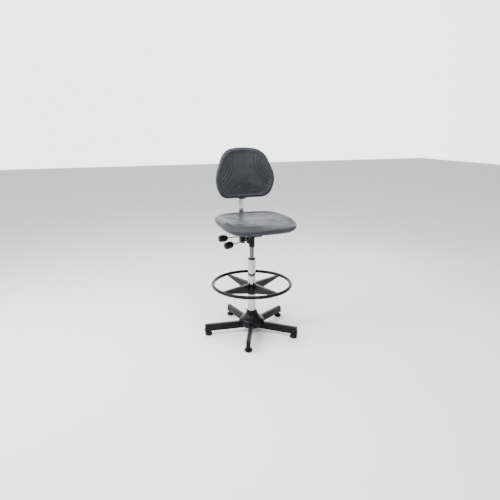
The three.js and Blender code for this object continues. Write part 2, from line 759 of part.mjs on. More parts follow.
function barBolt() {
  const low = bar.legZ + bar.thick / 2 + GAP + 4 + GAP;
  const shank = bolt([0, barBoltY, low - 12], [0, barBoltY, low + 1], 5, 16);
  const head = bolt([0, barBoltY, low], [0, barBoltY, low + 6.4], 9, 6);
  return join(shank, head);
}
piece("bar_bolt", paint.steel, barBolt());

// ---------------------------------------------------------------- seat

function superellipse(halfX, halfY, power, count) {
  const points = [];
  for (let k = 0; k < count; k++) {
    const a = (k / count) * Math.PI * 2;
    const side = (v) => Math.sign(v) * Math.abs(v) ** (2 / power);
    points.push([halfX * side(Math.cos(a)), halfY * side(Math.sin(a))]);
  }
  return points;
}

// The height added at a place on the seat: the front rolls down.
const seatFall = (y) => -seat.drop * Math.max(0, -y / seat.depth) ** 2;

function seatCushion() {
  const r = seat.rim;
  const profile = [
    [0, seat.under],
    [0.66, seat.under],
    [0.82, seat.under + 7],
    [0.93, r - 25],
    [0.985, r - 13],
    [1, r],
    [0.985, r + 13],
    [0.94, r + 22],
    [0.86, r + 24],
    [0.7, r + 17],
    [0.45, r + 9],
    [0, r + 7],
  ];
  const made = stretchedLathe(profile, superellipse(seat.half, seat.depth, seat.power, 48));
  const shaped = bend(made, (x, y, w) => {
    const share = Math.min(1, Math.max(0, (w - seat.under) / 20));
    return [x * (1 - (seat.taper * y) / seat.depth), y + seat.y, w + seatFall(y) * share];
  });
  const b = seatBoard;
  const reach = b.halfY + b.seatGap;
  const outline = roundedBox(b.halfX + b.seatGap, b.y - reach, b.y + reach, b.corner);
  const pocket = plate(outline, seat.under - 5, seat.under + b.thick + b.seatGap);
  return cut(shaped, pocket);
}
piece("seat_cushion", paint.foam, seatCushion());

function seatBoardShape() {
  const b = seatBoard;
  const outline = roundedBox(b.halfX, b.y - b.halfY, b.y + b.halfY, b.corner);
  const board = plate(outline, seat.under, seat.under + b.thick);
  const holes = [];
  for (const x of [-seatBolt.x, seatBolt.x]) {
    for (const y of seatBolt.y) {
      holes.push(bolt([x, y, seat.under - 1], [x, y, seat.under + seatBolt.depth + 1], seatBolt.r + GAP));
    }
  }
  return cut(board, ...holes);
}
piece("seat_board", paint.wood, seatBoardShape());

let boltNumber = 1;
for (const x of [-seatBolt.x, seatBolt.x]) {
  for (const y of seatBolt.y) {
    const under = pan.top - pan.sheet - GAP;
    const shank = bolt([x, y, under - 1], [x, y, seat.under + seatBolt.depth], seatBolt.r, 16);
    const head = bolt([x, y, under - seatBolt.headHeight], [x, y, under], seatBolt.head, 6);
    piece(`seat_bolt_${boltNumber}`, paint.steel, join(shank, head));
    boltNumber += 1;
  }
}

// ---------------------------------------------------------------- backrest

// Built flat, with x across, y up from the bottom edge and depth forward, then curved and leaned into place.
const shoulder = { x: back.half - 73, up: back.height - 16 };
const hip = { x: back.half, up: 118 };
const backFoot = back.half - 55;
const backOutline = roundedShape([
  [-backFoot, 0, 42],
  [backFoot, 0, 42],
  [hip.x, hip.up, 62],
  [shoulder.x, shoulder.up, 76],
  [0, back.height, 50],
  [-shoulder.x, shoulder.up, 76],
  [-hip.x, hip.up, 62],
]);
const backCentre = back.height - 182;

// How far the backrest's top curls away from the sitter at a height.
const backCurl = (height) => -(Math.max(0, height - back.curlFrom) ** 2) / (2 * back.curlR);

// From flat (across, up, depth) to the chair: the sides come forward and the whole leans with the bar.
function placeBack(x, height, depth, curve = back.curve) {
  const forward = depth + (x * x) / (2 * curve);
  const low = { y: back.front + 20, z: back.bottom };
  return [x, low.y - forward * up.z + height * up.y, low.z + height * up.z + forward * up.y];
}

function backCushion() {
  const t = back.thick;
  const profile = [
    [0, -t + 20],
    [0.7, -t + 20],
    [0.86, -t + 23],
    [0.95, -t + 29],
    [1, 0],
    [0.985, 8],
    [0.94, 14],
    [0.85, 18],
    [0.7, 19.5],
    [0.4, 19.5],
    [0, 19],
  ];
  const outline = backOutline.getSpacedPoints(48).slice(0, 48).map((p) => [p.x, p.y - backCentre]);
  const made = stretchedLathe(profile, outline);
  const pocketHalf = backBoard.half + seatBoard.seatGap;
  const pocket = block(
    [-pocketHalf, backBoard.from - seatBoard.seatGap, -t + 10],
    [pocketHalf, backBoard.from + backBoard.height + seatBoard.seatGap, -t + 20 + backBoard.thick],
  );
  const shaped = bend(made, (x, y, w) => placeBack(x, y + backCentre, w + backCurl(y + backCentre)));
  return cut(shaped, bend(pocket, (x, y, w) => placeBack(x, y, w, Infinity)));
}
piece("back_cushion", paint.foam, backCushion());

const backScrewUp = [backBoard.from + 34, backBoard.from + backBoard.height - 46];

function backBoardShape() {
  const t = back.thick;
  const board = block(
    [-backBoard.half, backBoard.from, -t + 18],
    [backBoard.half, backBoard.from + backBoard.height, -t + 18 + backBoard.thick],
  );
  const screws = backScrewUp.map((h) => bolt([0, h, -t], [0, h, -t + 18 + 6], 3 + GAP, 14));
  return bend(cut(board, ...screws), (x, y, w) => placeBack(x, y, w, Infinity));
}
piece("back_board", paint.wood, backBoardShape());

// The housing slides on the bar and carries the backrest. It is open at both ends for the bar.
function backHousing() {
  const h = housing;
  const backFace = -back.thick + 18 - GAP;
  const corner = 6;
  const barDepth = barAcross();
  const outline = roundedShape([
    [-h.half, -backFace, 1],
    [h.half, -backFace, 1],
    [h.half, h.depth - barDepth, corner],
    [-h.half, h.depth - barDepth, corner],
  ]);
  return new THREE.ExtrudeGeometry(outline, { depth: h.height, bevelEnabled: false, curveSegments: 5 })
    .rotateX(-Math.PI / 2)
    .translate(0, h.from, 0);
}

// How far behind the backrest's own plane the bar's middle line lies.
function barAcross() {
  const [, y0, z0] = placeBack(0, 0, 0);
  const wanted = barY(z0);
  return (y0 - wanted) * up.z;
}

function housingCuts() {
  const d = barAcross();
  const f = housing.fit;
  const slot = block(
    [-bar.width / 2 - f, housing.from - 5, d - bar.thick / 2 - f],
    [bar.width / 2 + f, housing.from + housing.height + 5, d + bar.thick / 2 + f],
  );
  const { up: height, screwR } = backKnob;
  const screw = bolt([0, height, d - housing.depth - 5], [0, height, d], screwR + RUNNING, 18);
  const mounts = backScrewUp.map((h) => bolt([0, h, d], [0, h, 40], 3 + GAP, 14));
  return [slot, screw, ...mounts];
}
const placeFlat = (x, y, w) => placeBack(x, y, w, Infinity);
piece("back_housing", paint.plastic, bend(cut(backHousing(), ...housingCuts()), placeFlat));

function clampKnob() {
  const d = barAcross();
  const face = d - housing.depth - 1;
  let grip = solid(bolt([0, backKnob.up, face - backKnob.depth], [0, backKnob.up, face], backKnob.r, 36));
  for (let k = 0; k < 6; k++) {
    const a = (k * Math.PI) / 3;
    const x = Math.cos(a) * (backKnob.r + 5);
    const y = backKnob.up + Math.sin(a) * (backKnob.r + 5);
    grip = grip.subtract(solid(bolt([x, y, face - backKnob.depth - 1], [x, y, face - 6], 8, 16)));
  }
  const end = d - bar.thick / 2 - 2.2;
  const screw = bolt([0, backKnob.up, face - 2], [0, backKnob.up, end], backKnob.screwR, 16);
  return geometryOf(grip.add(solid(screw)));
}
piece("back_clamp_knob", paint.plastic, bend(clampKnob(), placeFlat));

backScrewUp.forEach((h, k) => {
  const d = barAcross() + bar.thick / 2 + housing.fit;
  const t = back.thick;
  const shank = bolt([0, h, d + 0.6], [0, h, -t + 18 + 5], 3, 14);
  piece(`back_screw_${k + 1}`, paint.steel, bend(shank, placeFlat));
});

// ---------------------------------------------------------------- place

chair.position.set(columnAt.x, columnAt.y, 0);

export default chair;
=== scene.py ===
import json
import math

import bmesh
import bpy
import numpy as np
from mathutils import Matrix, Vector


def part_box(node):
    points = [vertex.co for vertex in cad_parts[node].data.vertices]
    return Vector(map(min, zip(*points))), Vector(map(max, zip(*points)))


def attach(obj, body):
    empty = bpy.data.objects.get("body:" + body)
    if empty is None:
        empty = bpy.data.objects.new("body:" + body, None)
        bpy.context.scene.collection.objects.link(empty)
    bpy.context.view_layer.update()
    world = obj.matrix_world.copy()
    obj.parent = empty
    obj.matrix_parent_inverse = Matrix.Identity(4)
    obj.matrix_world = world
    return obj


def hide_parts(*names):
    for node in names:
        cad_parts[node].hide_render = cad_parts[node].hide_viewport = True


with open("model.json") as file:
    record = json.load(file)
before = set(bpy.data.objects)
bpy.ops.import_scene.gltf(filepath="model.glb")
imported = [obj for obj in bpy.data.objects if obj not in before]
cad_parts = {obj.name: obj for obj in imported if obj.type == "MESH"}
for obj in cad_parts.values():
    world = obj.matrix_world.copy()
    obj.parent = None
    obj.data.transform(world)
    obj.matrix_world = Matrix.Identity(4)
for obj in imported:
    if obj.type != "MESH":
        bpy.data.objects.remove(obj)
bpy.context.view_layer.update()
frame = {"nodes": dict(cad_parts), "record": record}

mm = 0.001
print("frame loaded:", len(frame["nodes"]), "nodes")

# everything is drawn in millimetres from the column's axis, at floor height
tubeLow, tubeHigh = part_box("column_tube")
columnAxis = Vector(((tubeLow.x + tubeHigh.x) / 2, (tubeLow.y + tubeHigh.y) / 2, 0))


def spot(node):
    low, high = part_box(node)
    return (low - columnAxis) / mm, (high - columnAxis) / mm


def middleOf(node):
    low, high = spot(node)
    return (low + high) / 2


# the studio: where the camera stands, how bright each light is and how the wall behind fades
studio = {
    "lens": 30.96, "eye": (-955, -2456, 1295), "azimuth": -21.0, "pitch": 15.67,
    "sides": 0.26, "ahead": 0.3, "behind": 3.6, "keyPower": 110, "topPower": 165, "rimPower": 10,
    "fillPower": 5,
    "floorHalf": 14, "floorTone": 0.97, "floorRough": 0.85,
}


def makeCamera():
    data = bpy.data.cameras.new("camera")
    data.lens = studio["lens"]
    camera = bpy.data.objects.new("camera", data)
    bpy.context.scene.collection.objects.link(camera)
    camera.location = columnAxis + Vector(studio["eye"]) * mm
    turn = math.radians(studio["azimuth"])
    camera.rotation_euler = (math.radians(90 - studio["pitch"]), 0, turn)
    bpy.context.scene.camera = camera


def addLight(name, place, aim, power, size, sizeY=None):
    data = bpy.data.lights.new(name, "AREA")
    data.energy = power
    data.shape = "RECTANGLE" if sizeY else "SQUARE"
    data.size = size
    if sizeY:
        data.size_y = sizeY
    lamp = bpy.data.objects.new(name, data)
    bpy.context.scene.collection.objects.link(lamp)
    lamp.location = place
    lamp.rotation_euler = (Vector(aim) - Vector(place)).to_track_quat("-Z", "Y").to_euler()


def makeStudio():
    world = bpy.data.worlds.new("studio")
    bpy.context.scene.world = world
    world.use_nodes = True
    # the wall of the studio is brightest behind the chair, paler in front of it and dark at the sides
    tree = world.node_tree
    back = tree.nodes["Background"]
    back.inputs["Color"].default_value = (1, 1, 1, 1)
    place = tree.nodes.new("ShaderNodeTexCoord")
    parts = tree.nodes.new("ShaderNodeSeparateXYZ")
    tree.links.new(place.outputs["Generated"], parts.inputs[0])
    rise = tree.nodes.new("ShaderNodeFloatCurve")
    tree.links.new(parts.outputs["Y"], rise.inputs["Value"])
    curve = rise.mapping.curves[0]
    rise.mapping.use_clip = False
    curve.points[0].location = (-1, studio["ahead"])
    curve.points[1].location = (1, studio["behind"])
    for y, strength in ((-0.6, studio["ahead"]), (-0.25, studio["sides"]), (0.3, studio["sides"]),
                        (0.72, studio["behind"])):
        curve.points.new(y, strength)
    rise.mapping.update()
    tree.links.new(rise.outputs[0], back.inputs["Strength"])
    aim = (0, 0, 0.7)
    addLight("keyLight", (-2.3, 0.1, 2.1), aim, studio["keyPower"], 0.7, 1.6)
    addLight("topLight", (-0.2, -1.0, 3.3), aim, studio["topPower"], 2.4)
    addLight("rimLight", (1.9, 1.4, 1.6), aim, studio["rimPower"], 0.8, 1.8)
    addLight("fillLight", (-1.6, -2.4, 1.8), aim, studio["fillPower"], 1.6)
    mesh = bpy.data.meshes.new("floor")
    half = studio["floorHalf"]
    mesh.from_pydata([(-half, -half, 0), (half, -half, 0), (half, half, 0), (-half, half, 0)], [],
                     [(0, 1, 2, 3)])
    floor = bpy.data.objects.new("floor", mesh)
    bpy.context.scene.collection.objects.link(floor)
    paint = bpy.data.materials.new("floorPaint")
    paint.use_nodes = True
    shader = paint.node_tree.nodes["Principled BSDF"]
    shader.inputs["Base Color"].default_value = (*[studio["floorTone"]] * 3, 1)
    shader.inputs["Roughness"].default_value = studio["floorRough"]
    mesh.materials.append(paint)


makeCamera()
makeStudio()
print("camera and studio ready")


def newGroup(name, inputs, outputs):
    group = bpy.data.node_groups.new(name, "ShaderNodeTree")
    for label, kind, value in inputs:
        socket = group.interface.new_socket(name=label, in_out="INPUT", socket_type="NodeSocket" + kind)
        if value is not None:
            socket.default_value = value
    for label, kind in outputs:
        group.interface.new_socket(name=label, in_out="OUTPUT", socket_type="NodeSocket" + kind)
    start = group.nodes.new("NodeGroupInput")
    end = group.nodes.new("NodeGroupOutput")
    return group, start, end


def addNode(tree, kind, links=None, **settings):
    node = tree.nodes.new("ShaderNode" + kind)
    for key, value in settings.items():
        setattr(node, key, value)
    for key, value in (links or {}).items():
        if isinstance(value, bpy.types.NodeSocket):
            tree.links.new(value, node.inputs[key])
        else:
            node.inputs[key].default_value = value
    return node


def mathNode(tree, operation, a, b=0.0):
    return addNode(tree, "Math", {0: a, 1: b}, operation=operation).outputs[0]


def rampNode(tree, source, low, high, fromValue=0.0, toValue=1.0):
    links = {"Value": source, "From Min": low, "From Max": high, "To Min": fromValue, "To Max": toValue}
    return addNode(tree, "MapRange", links, interpolation_type="SMOOTHSTEP").outputs[0]


# inputs 6 and 7 of the mix node are the two colours, and output 2 is the mixed one
def blendColours(tree, factor, a, b):
    return addNode(tree, "Mix", {0: factor, 6: a, 7: b}, data_type="RGBA").outputs[2]


# fine pebbled skin of moulded foam and plastic: a height and an even-toned variation
def makeSkinGrain():
    group, start, end = newGroup(
        "skinGrain",
        [("Size", "Float", 0.002), ("Unevenness", "Float", 0.5)],
        [("Height", "Float"), ("Tone", "Float")],
    )
    place = addNode(group, "TexCoord").outputs["Object"]
    scale = mathNode(group, "DIVIDE", 1.0, start.outputs["Size"])
    cells = addNode(group, "TexVoronoi", {"Vector": place, "Scale": scale}, feature="SMOOTH_F1")
    fine = addNode(group, "TexNoise", {"Vector": place, "Scale": scale, "Detail": 3.0})
    pebble = rampNode(group, cells.outputs["Distance"], 0.1, 0.75, 1.0, 0.0)
    uneven = mathNode(group, "MULTIPLY", fine.outputs["Fac"], start.outputs["Unevenness"])
    group.links.new(mathNode(group, "ADD", pebble, uneven), end.inputs["Height"])
    broad = addNode(group, "TexNoise", {"Vector": place, "Scale": 9.0, "Detail": 4.0, "Roughness": 0.6})
    group.links.new(rampNode(group, broad.outputs["Fac"], 0.3, 0.7), end.inputs["Tone"])
    return group


# worn or polished edges, found from how far a rounded normal leaves the real one
def makeEdgeWear():
    group, start, end = newGroup(
        "edgeWear",
        [("Width", "Float", 0.0015), ("Patchiness", "Float", 60.0)],
        [("Mask", "Float")],
    )
    rounded = addNode(group, "Bevel", {"Radius": start.outputs["Width"]}, samples=6).outputs["Normal"]
    real = addNode(group, "NewGeometry").outputs["Normal"]
    along = addNode(group, "VectorMath", {0: rounded, 1: real}, operation="DOT_PRODUCT").outputs["Value"]
    edge = rampNode(group, along, 0.999, 0.93)
    place = addNode(group, "TexCoord").outputs["Object"]
    patches = addNode(group, "TexNoise", {"Vector": place, "Scale": start.outputs["Patchiness"],
                                          "Detail": 5.0})
    patchy = rampNode(group, patches.outputs["Fac"], 0.42, 0.62)
    group.links.new(mathNode(group, "MULTIPLY", edge, patchy), end.inputs["Mask"])
    return group


# dust that settles on faces that look up
def makeDust():
    group, start, end = newGroup("settledDust", [("Amount", "Float", 0.3)], [("Mask", "Float")])
    facing = addNode(group, "SeparateXYZ", {0: addNode(group,
                                                       "NewGeometry").outputs["Normal"]}).outputs["Z"]
    upward = rampNode(group, facing, 0.35, 0.98)
    place = addNode(group, "TexCoord").outputs["Object"]
    specks = addNode(group, "TexNoise", {"Vector": place, "Scale": 34.0, "Detail": 8.0, "Roughness": 0.7})
    spread = rampNode(group, specks.outputs["Fac"], 0.3, 0.75)
    both = mathNode(group, "MULTIPLY", upward, spread)
    group.links.new(mathNode(group, "MULTIPLY", both, start.outputs["Amount"]), end.inputs["Mask"])
    return group


# handling marks: broad smears with hairline scratches over them
def makeHandling():
    group, start, end = newGroup(
        "handlingMarks",
        [("Smear", "Float", 12.0), ("Hairline", "Float", 260.0)],
        [("Smears", "Float"), ("Hairlines", "Float")],
    )
    place = addNode(group, "TexCoord").outputs["Object"]
    smear = addNode(
        group, "TexNoise",
        {"Vector": place, "Scale": start.outputs["Smear"], "Detail": 5.0, "Distortion": 1.2},
    )
    group.links.new(rampNode(group, smear.outputs["Fac"], 0.35, 0.7), end.inputs["Smears"])
    squeezed = addNode(group, "VectorMath", {0: place, 1: (1.0, 1.0, 0.06)},
                       operation="MULTIPLY").outputs[0]
    lines = addNode(
        group, "TexNoise",
        {"Vector": squeezed, "Scale": start.outputs["Hairline"], "Detail": 2.0, "Distortion": 0.4},
    )
    group.links.new(rampNode(group, lines.outputs["Fac"], 0.66, 0.72), end.inputs["Hairlines"])
    return group


skinGrain = makeSkinGrain()
edgeWear = makeEdgeWear()
settledDust = makeDust()
handlingMarks = makeHandling()


def useGroup(tree, group, **values):
    node = tree.nodes.new("ShaderNodeGroup")
    node.node_tree = group
    for key, value in values.items():
        node.inputs[key].default_value = value
    return node


def newMaterial(name, shaderValues):
    made = bpy.data.materials.new(name)
    made.use_nodes = True
    tree = made.node_tree
    shader = tree.nodes["Principled BSDF"]
    for key, value in shaderValues.items():
        shader.inputs[key].default_value = value
    return made, tree, shader


def bumpInto(tree, shader, height, strength, distance):
    bump = addNode(tree, "Bump", {"Height": height, "Strength": strength, "Distance": distance})
    tree.links.new(bump.outputs["Normal"], shader.inputs["Normal"])


def rgb(r, g, b):
    return (r, g, b, 1.0)


def makeFoamSkin():
    look = {"dark": rgb(0.03, 0.032, 0.039), "light": rgb(0.043, 0.0455, 0.053), "rough": (0.34, 0.44)}
    made, tree, shader = newMaterial("foamSkin", {"Specular IOR Level": 0.1, "Sheen Weight": 0.02})
    grain = useGroup(tree, skinGrain, Size=0.0016, Unevenness=0.6)
    marks = useGroup(tree, handlingMarks, Smear=7.0)
    dust = useGroup(tree, settledDust, Amount=0.02)
    colour = blendColours(tree, grain.outputs["Tone"], look["dark"], look["light"])
    colour = blendColours(tree, dust.outputs["Mask"], colour, rgb(0.3, 0.3, 0.31))
    tree.links.new(colour, shader.inputs["Base Color"])
    rough = rampNode(tree, marks.outputs["Smears"], 0, 1, *look["rough"])
    tree.links.new(rough, shader.inputs["Roughness"])
    bumpInto(tree, shader, grain.outputs["Height"], 0.14, 0.0004)
    return made


def makePlastic(name, dark, light, rough, grainSize, grainDepth, wear):
    made, tree, shader = newMaterial(name, {"Specular IOR Level": 0.14})
    grain = useGroup(tree, skinGrain, Size=grainSize, Unevenness=0.5)
    marks = useGroup(tree, handlingMarks, Smear=16.0)
    edges = useGroup(tree, edgeWear, Width=0.0012, Patchiness=90.0)
    dust = useGroup(tree, settledDust, Amount=0.008)
    colour = blendColours(tree, grain.outputs["Tone"], dark, light)
    edge = mathNode(tree, "MULTIPLY", edges.outputs["Mask"], wear)
    colour = blendColours(tree, edge, colour, rgb(0.16, 0.16, 0.165))
    colour = blendColours(tree, dust.outputs["Mask"], colour, rgb(0.32, 0.32, 0.32))
    tree.links.new(colour, shader.inputs["Base Color"])
    tree.links.new(rampNode(tree, marks.outputs["Smears"], 0, 1, *rough), shader.inputs["Roughness"])
    bumpInto(tree, shader, grain.outputs["Height"], grainDepth, 0.0003)
    return made


def makePowderCoat():
    made, tree, shader = newMaterial("powderCoat", {"Specular IOR Level": 0.13})
    peel = useGroup(tree, skinGrain, Size=0.0028, Unevenness=0.8)
    edges = useGroup(tree, edgeWear, Width=0.0014, Patchiness=70.0)
    marks = useGroup(tree, handlingMarks, Smear=10.0, Hairline=320.0)
    dust = useGroup(tree, settledDust, Amount=0.008)
    colour = blendColours(tree, peel.outputs["Tone"], rgb(0.003, 0.0033, 0.0048),
                          rgb(0.0055, 0.0058, 0.0075))
    colour = blendColours(tree, dust.outputs["Mask"], colour, rgb(0.3, 0.3, 0.3))
    bare = mathNode(tree, "MULTIPLY", edges.outputs["Mask"], 0.16)
    colour = blendColours(tree, bare, colour, rgb(0.3, 0.3, 0.31))
    tree.links.new(colour, shader.inputs["Base Color"])
    scratched = mathNode(tree, "MULTIPLY", marks.outputs["Hairlines"], 0.12)
    rough = mathNode(tree, "ADD", rampNode(tree, marks.outputs["Smears"], 0, 1, 0.3, 0.42), scratched)
    tree.links.new(rough, shader.inputs["Roughness"])
    tree.links.new(mathNode(tree, "MULTIPLY", bare, 0.8), shader.inputs["Metallic"])
    bumpInto(tree, shader, peel.outputs["Height"], 0.1, 0.0003)
    return made


def makeChrome(name, tint, rough):
    made, tree, shader = newMaterial(name, {"Metallic": 1.0})
    marks = useGroup(tree, handlingMarks, Smear=9.0, Hairline=420.0)
    colour = blendColours(tree, marks.outputs["Smears"], tint, tuple(0.93 * v for v in tint[:3]) + (1.0,))
    tree.links.new(colour, shader.inputs["Base Color"])
    lined = mathNode(tree, "MULTIPLY", marks.outputs["Hairlines"], 0.08)
    spread = rampNode(tree, marks.outputs["Smears"], 0, 1, *rough)
    tree.links.new(mathNode(tree, "ADD", spread, lined), shader.inputs["Roughness"])
    bumpInto(tree, shader, marks.outputs["Hairlines"], 0.04, 0.0001)
    return made


def makeZincSteel():
    made, tree, shader = newMaterial("zincSteel", {"Metallic": 1.0})
    marks = useGroup(tree, handlingMarks, Smear=40.0, Hairline=300.0)
    edges = useGroup(tree, edgeWear, Width=0.0008, Patchiness=120.0)
    colour = blendColours(tree, marks.outputs["Smears"], rgb(0.2, 0.205, 0.21), rgb(0.28, 0.28, 0.275))
    colour = blendColours(tree, edges.outputs["Mask"], colour, rgb(0.45, 0.45, 0.45))
    tree.links.new(colour, shader.inputs["Base Color"])
    tree.links.new(rampNode(tree, marks.outputs["Smears"], 0, 1, 0.26, 0.42), shader.inputs["Roughness"])
    bumpInto(tree, shader, marks.outputs["Hairlines"], 0.12, 0.0002)
    return made


# dark-stained plywood with its grain along Y
def makeStainedPly():
    made, tree, shader = newMaterial("stainedPly", {"Specular IOR Level": 0.4})
    place = addNode(tree, "TexCoord").outputs["Object"]
    along = addNode(tree, "VectorMath", {0: place, 1: (70.0, 6.0, 70.0)}, operation="MULTIPLY").outputs[0]
    fibres = addNode(tree, "TexNoise", {"Vector": along, "Scale": 3.0, "Detail": 6.0, "Distortion": 0.6})
    tone = rampNode(tree, fibres.outputs["Fac"], 0.35, 0.68)
    colour = blendColours(tree, tone, rgb(0.02, 0.017, 0.015), rgb(0.05, 0.04, 0.033))
    dust = useGroup(tree, settledDust, Amount=0.15)
    colour = blendColours(tree, dust.outputs["Mask"], colour, rgb(0.3, 0.29, 0.28))
    tree.links.new(colour, shader.inputs["Base Color"])
    tree.links.new(rampNode(tree, tone, 0, 1, 0.42, 0.58), shader.inputs["Roughness"])
    bumpInto(tree, shader, fibres.outputs["Fac"], 0.25, 0.0003)
    return made


foamSkin = makeFoamSkin()
satinPlastic = makePlastic("satinPlastic", rgb(0.003, 0.0032, 0.004), rgb(0.0055, 0.0058, 0.007),
                           (0.34, 0.48), 0.0012, 0.12, 0.12)
ribbedPlastic = makePlastic("ribbedPlastic", rgb(0.0022, 0.0022, 0.0026), rgb(0.0045, 0.0045, 0.005),
                            (0.4, 0.55), 0.0009, 0.2, 0.08)
blackRubber = makePlastic("blackRubber", rgb(0.012, 0.012, 0.012), rgb(0.022, 0.022, 0.021), (0.6, 0.75),
                          0.0011, 0.2, 0.04)
powderCoat = makePowderCoat()
# the column's chrome is tinted darker than the bar's: painted shade, a shaded copy of the same chrome
columnChromePaintedShade = makeChrome("columnChromePaintedShade", rgb(0.42, 0.43, 0.44), (0.05, 0.12))
# the bar's chrome is tinted nearly white: a painted reflection that makes it read as brightly lit, a lit
# copy of the same chrome
barChromePaintedReflection = makeChrome("barChromePaintedReflection", rgb(0.9, 0.91, 0.92), (0.05, 0.1))
dullChrome = makeChrome("dullChrome", rgb(0.1, 0.112, 0.118), (0.2, 0.3))
zincSteel = makeZincSteel()
stainedPly = makeStainedPly()
print("materials ready")

# points are given in millimetres; edges sharper than the angle stay sharp in the shading
def makePiece(name, points, faces, material, sharp=38):
    mesh = bpy.data.meshes.new(name)
    mesh.from_pydata([columnAxis + Vector(p) * mm for p in points], [], faces)
    mesh.materials.append(material)
    piece = bpy.data.objects.new(name, mesh)
    bpy.context.scene.collection.objects.link(piece)
    shadeSmooth(piece, sharp)
    return piece


def shadeSmooth(piece, sharp=38):
    mesh = piece.data
    work = bmesh.new()
    work.from_mesh(mesh)
    bmesh.ops.recalc_face_normals(work, faces=work.faces)
    work.to_mesh(mesh)
    work.free()
    for face in mesh.polygons:
        face.use_smooth = True
    mesh.set_sharp_from_angle(angle=math.radians(sharp))


# corners of a path become arcs; each point may end with the length that its corner takes
def rounded(points, closed=False, size=2, steps=5):
    out = []
    count = len(points)
    for i, point in enumerate(points):
        here = Vector(point[:size])
        take = point[size] if len(point) > size else 0
        if not take or (not closed and i in (0, count - 1)):
            out.append(here)
            continue
        before = Vector(points[i - 1][:size])
        after = Vector(points[(i + 1) % count][:size])
        a = here + (before - here).normalized() * min(take, (before - here).length * 0.5)
        b = here + (after - here).normalized() * min(take, (after - here).length * 0.5)
        for k in range(steps + 1):
            t = k / steps
            out.append(a * (1 - t) ** 2 + here * 2 * t * (1 - t) + b * t * t)
    return out


# joins rings of equal length into a skin; ends are capped, or meet each other if looped
def loft(name, rings, material, looped=False, sharp=38):
    size = len(rings[0])
    points = [p for ring in rings for p in ring]
    faces = []
    last = len(rings) if looped else len(rings) - 1
    for i in range(last):
        a = i * size
        b = ((i + 1) % len(rings)) * size
        for k in range(size):
            n = (k + 1) % size
            faces.append((a + k, a + n, b + n, b + k))
    if not looped:
        faces.append(tuple(reversed(range(size))))
        faces.append(tuple((len(rings) - 1) * size + k for k in range(size)))
    return makePiece(name, points, faces, material, sharp)


# a turned shape about Z from its [radius, height] outline
def revolve(name, outline, material, at=(0, 0), segments=96, sharp=38, closed=False):
    points, faces, rings = [], [], []
    for r, z in outline:
        if r < 1e-6:
            rings.append([len(points)])
            points.append((at[0], at[1], z))
            continue
        rings.append(list(range(len(points), len(points) + segments)))
        for k in range(segments):
            a = 2 * math.pi * k / segments
            points.append((at[0] + r * math.cos(a), at[1] + r * math.sin(a), z))
    pairs = list(zip(rings, rings[1:]))
    if closed:
        pairs.append((rings[-1], rings[0]))
    for low, high in pairs:
        for k in range(segments):
            n = (k + 1) % segments
            corners = [low[k % len(low)], low[n % len(low)], high[n % len(high)], high[k % len(high)]]
            face = tuple(dict.fromkeys(corners))
            if len(face) > 2:
                faces.append(face)
    return makePiece(name, points, faces, material, sharp)


# a section carried along a path without twisting; endRound adds smaller rings that round off its ends
def sweep(name, path, section, material, side=(1, 0, 0), endRound=0.0, sharp=38):
    path = [Vector(p) for p in path]
    rings = []
    across = Vector(side)
    for i, here in enumerate(path):
        ahead = path[min(i + 1, len(path) - 1)]
        behind = path[max(i - 1, 0)]
        along = (ahead - behind).normalized()
        across = (across - along * across.dot(along)).normalized()
        up = along.cross(across)
        rings.append((here, along, across.copy(), up))
    made = []

    def ring(frameAt, shift, scale):
        here, along, a, u = frameAt
        return [here + along * shift + a * x * scale + u * y * scale for x, y in section]

    if endRound:
        made += [ring(rings[0], -endRound * math.sin(t),
                      1 - endRound * (1 - math.cos(t)) / 10) for t in (1.5, 1.2, 0.8, 0.4)]
    made += [ring(r, 0, 1) for r in rings]
    if endRound:
        made += [ring(rings[-1], endRound * math.sin(t),
                      1 - endRound * (1 - math.cos(t)) / 10) for t in (0.4, 0.8, 1.2, 1.5)]
    return loft(name, made, material, sharp=sharp)


def circle(r, count=20):
    return [(r * math.cos(2 * math.pi * k / count),
             r * math.sin(2 * math.pi * k / count)) for k in range(count)]


# a straight round pin with chamfered ends
def pin(name, start, end, r, material, chamfer=0.6, segments=28):
    a, b = Vector(start), Vector(end)
    along = (b - a).normalized()
    side = along.orthogonal().normalized()
    up = along.cross(side)
    length = (b - a).length
    rings = []
    for step, radius in ((0, r - chamfer), (chamfer, r), (length - chamfer, r), (length, r - chamfer)):
        centre = a + along * step
        rings.append([centre + side * x + up * y for x, y in circle(radius, segments)])
    return loft(name, rings, material, sharp=30)


# an outline in a plane, given thickness and a rounded rim
def slab(name, outline, origin, across, up, thick, material, rim=0.8, sharp=38):
    across, up = Vector(across), Vector(up)
    out = across.cross(up)
    origin = Vector(origin)
    points = [tuple(origin + across * x + up * y) for x, y in outline]
    points += [tuple(Vector(p) + out * thick) for p in points]
    size = len(outline)
    faces = [tuple(range(size)), tuple(range(size, 2 * size))]
    faces += [(k, (k + 1) % size, size + (k + 1) % size, size + k) for k in range(size)]
    piece = makePiece(name, points, faces, material, sharp)
    if rim:
        bevel = piece.modifiers.new("rim", "BEVEL")
        bevel.width = rim * mm
        bevel.segments = 3
        bevel.limit_method = "ANGLE"
        bevel.angle_limit = math.radians(50)
        settle(piece, sharp)
    return piece


def settle(piece, sharp=38):
    graph = bpy.context.evaluated_depsgraph_get()
    made = bpy.data.meshes.new_from_object(piece.evaluated_get(graph))
    old = piece.data
    piece.modifiers.clear()
    piece.data = made
    bpy.data.meshes.remove(old)
    shadeSmooth(piece, sharp)


def combine(piece, other, operation):
    tool = piece.modifiers.new("tool", "BOOLEAN")
    tool.operation = operation
    tool.solver = "EXACT"
    tool.object = other


def carve(piece, cutters, sharp=38):
    for cutter in cutters:
        combine(piece, cutter, "DIFFERENCE")
    settle(piece, sharp)
    for cutter in cutters:
        bpy.data.objects.remove(cutter)


def fuse(piece, other):
    combine(piece, other, "UNION")
    settle(piece)
    bpy.data.objects.remove(other)


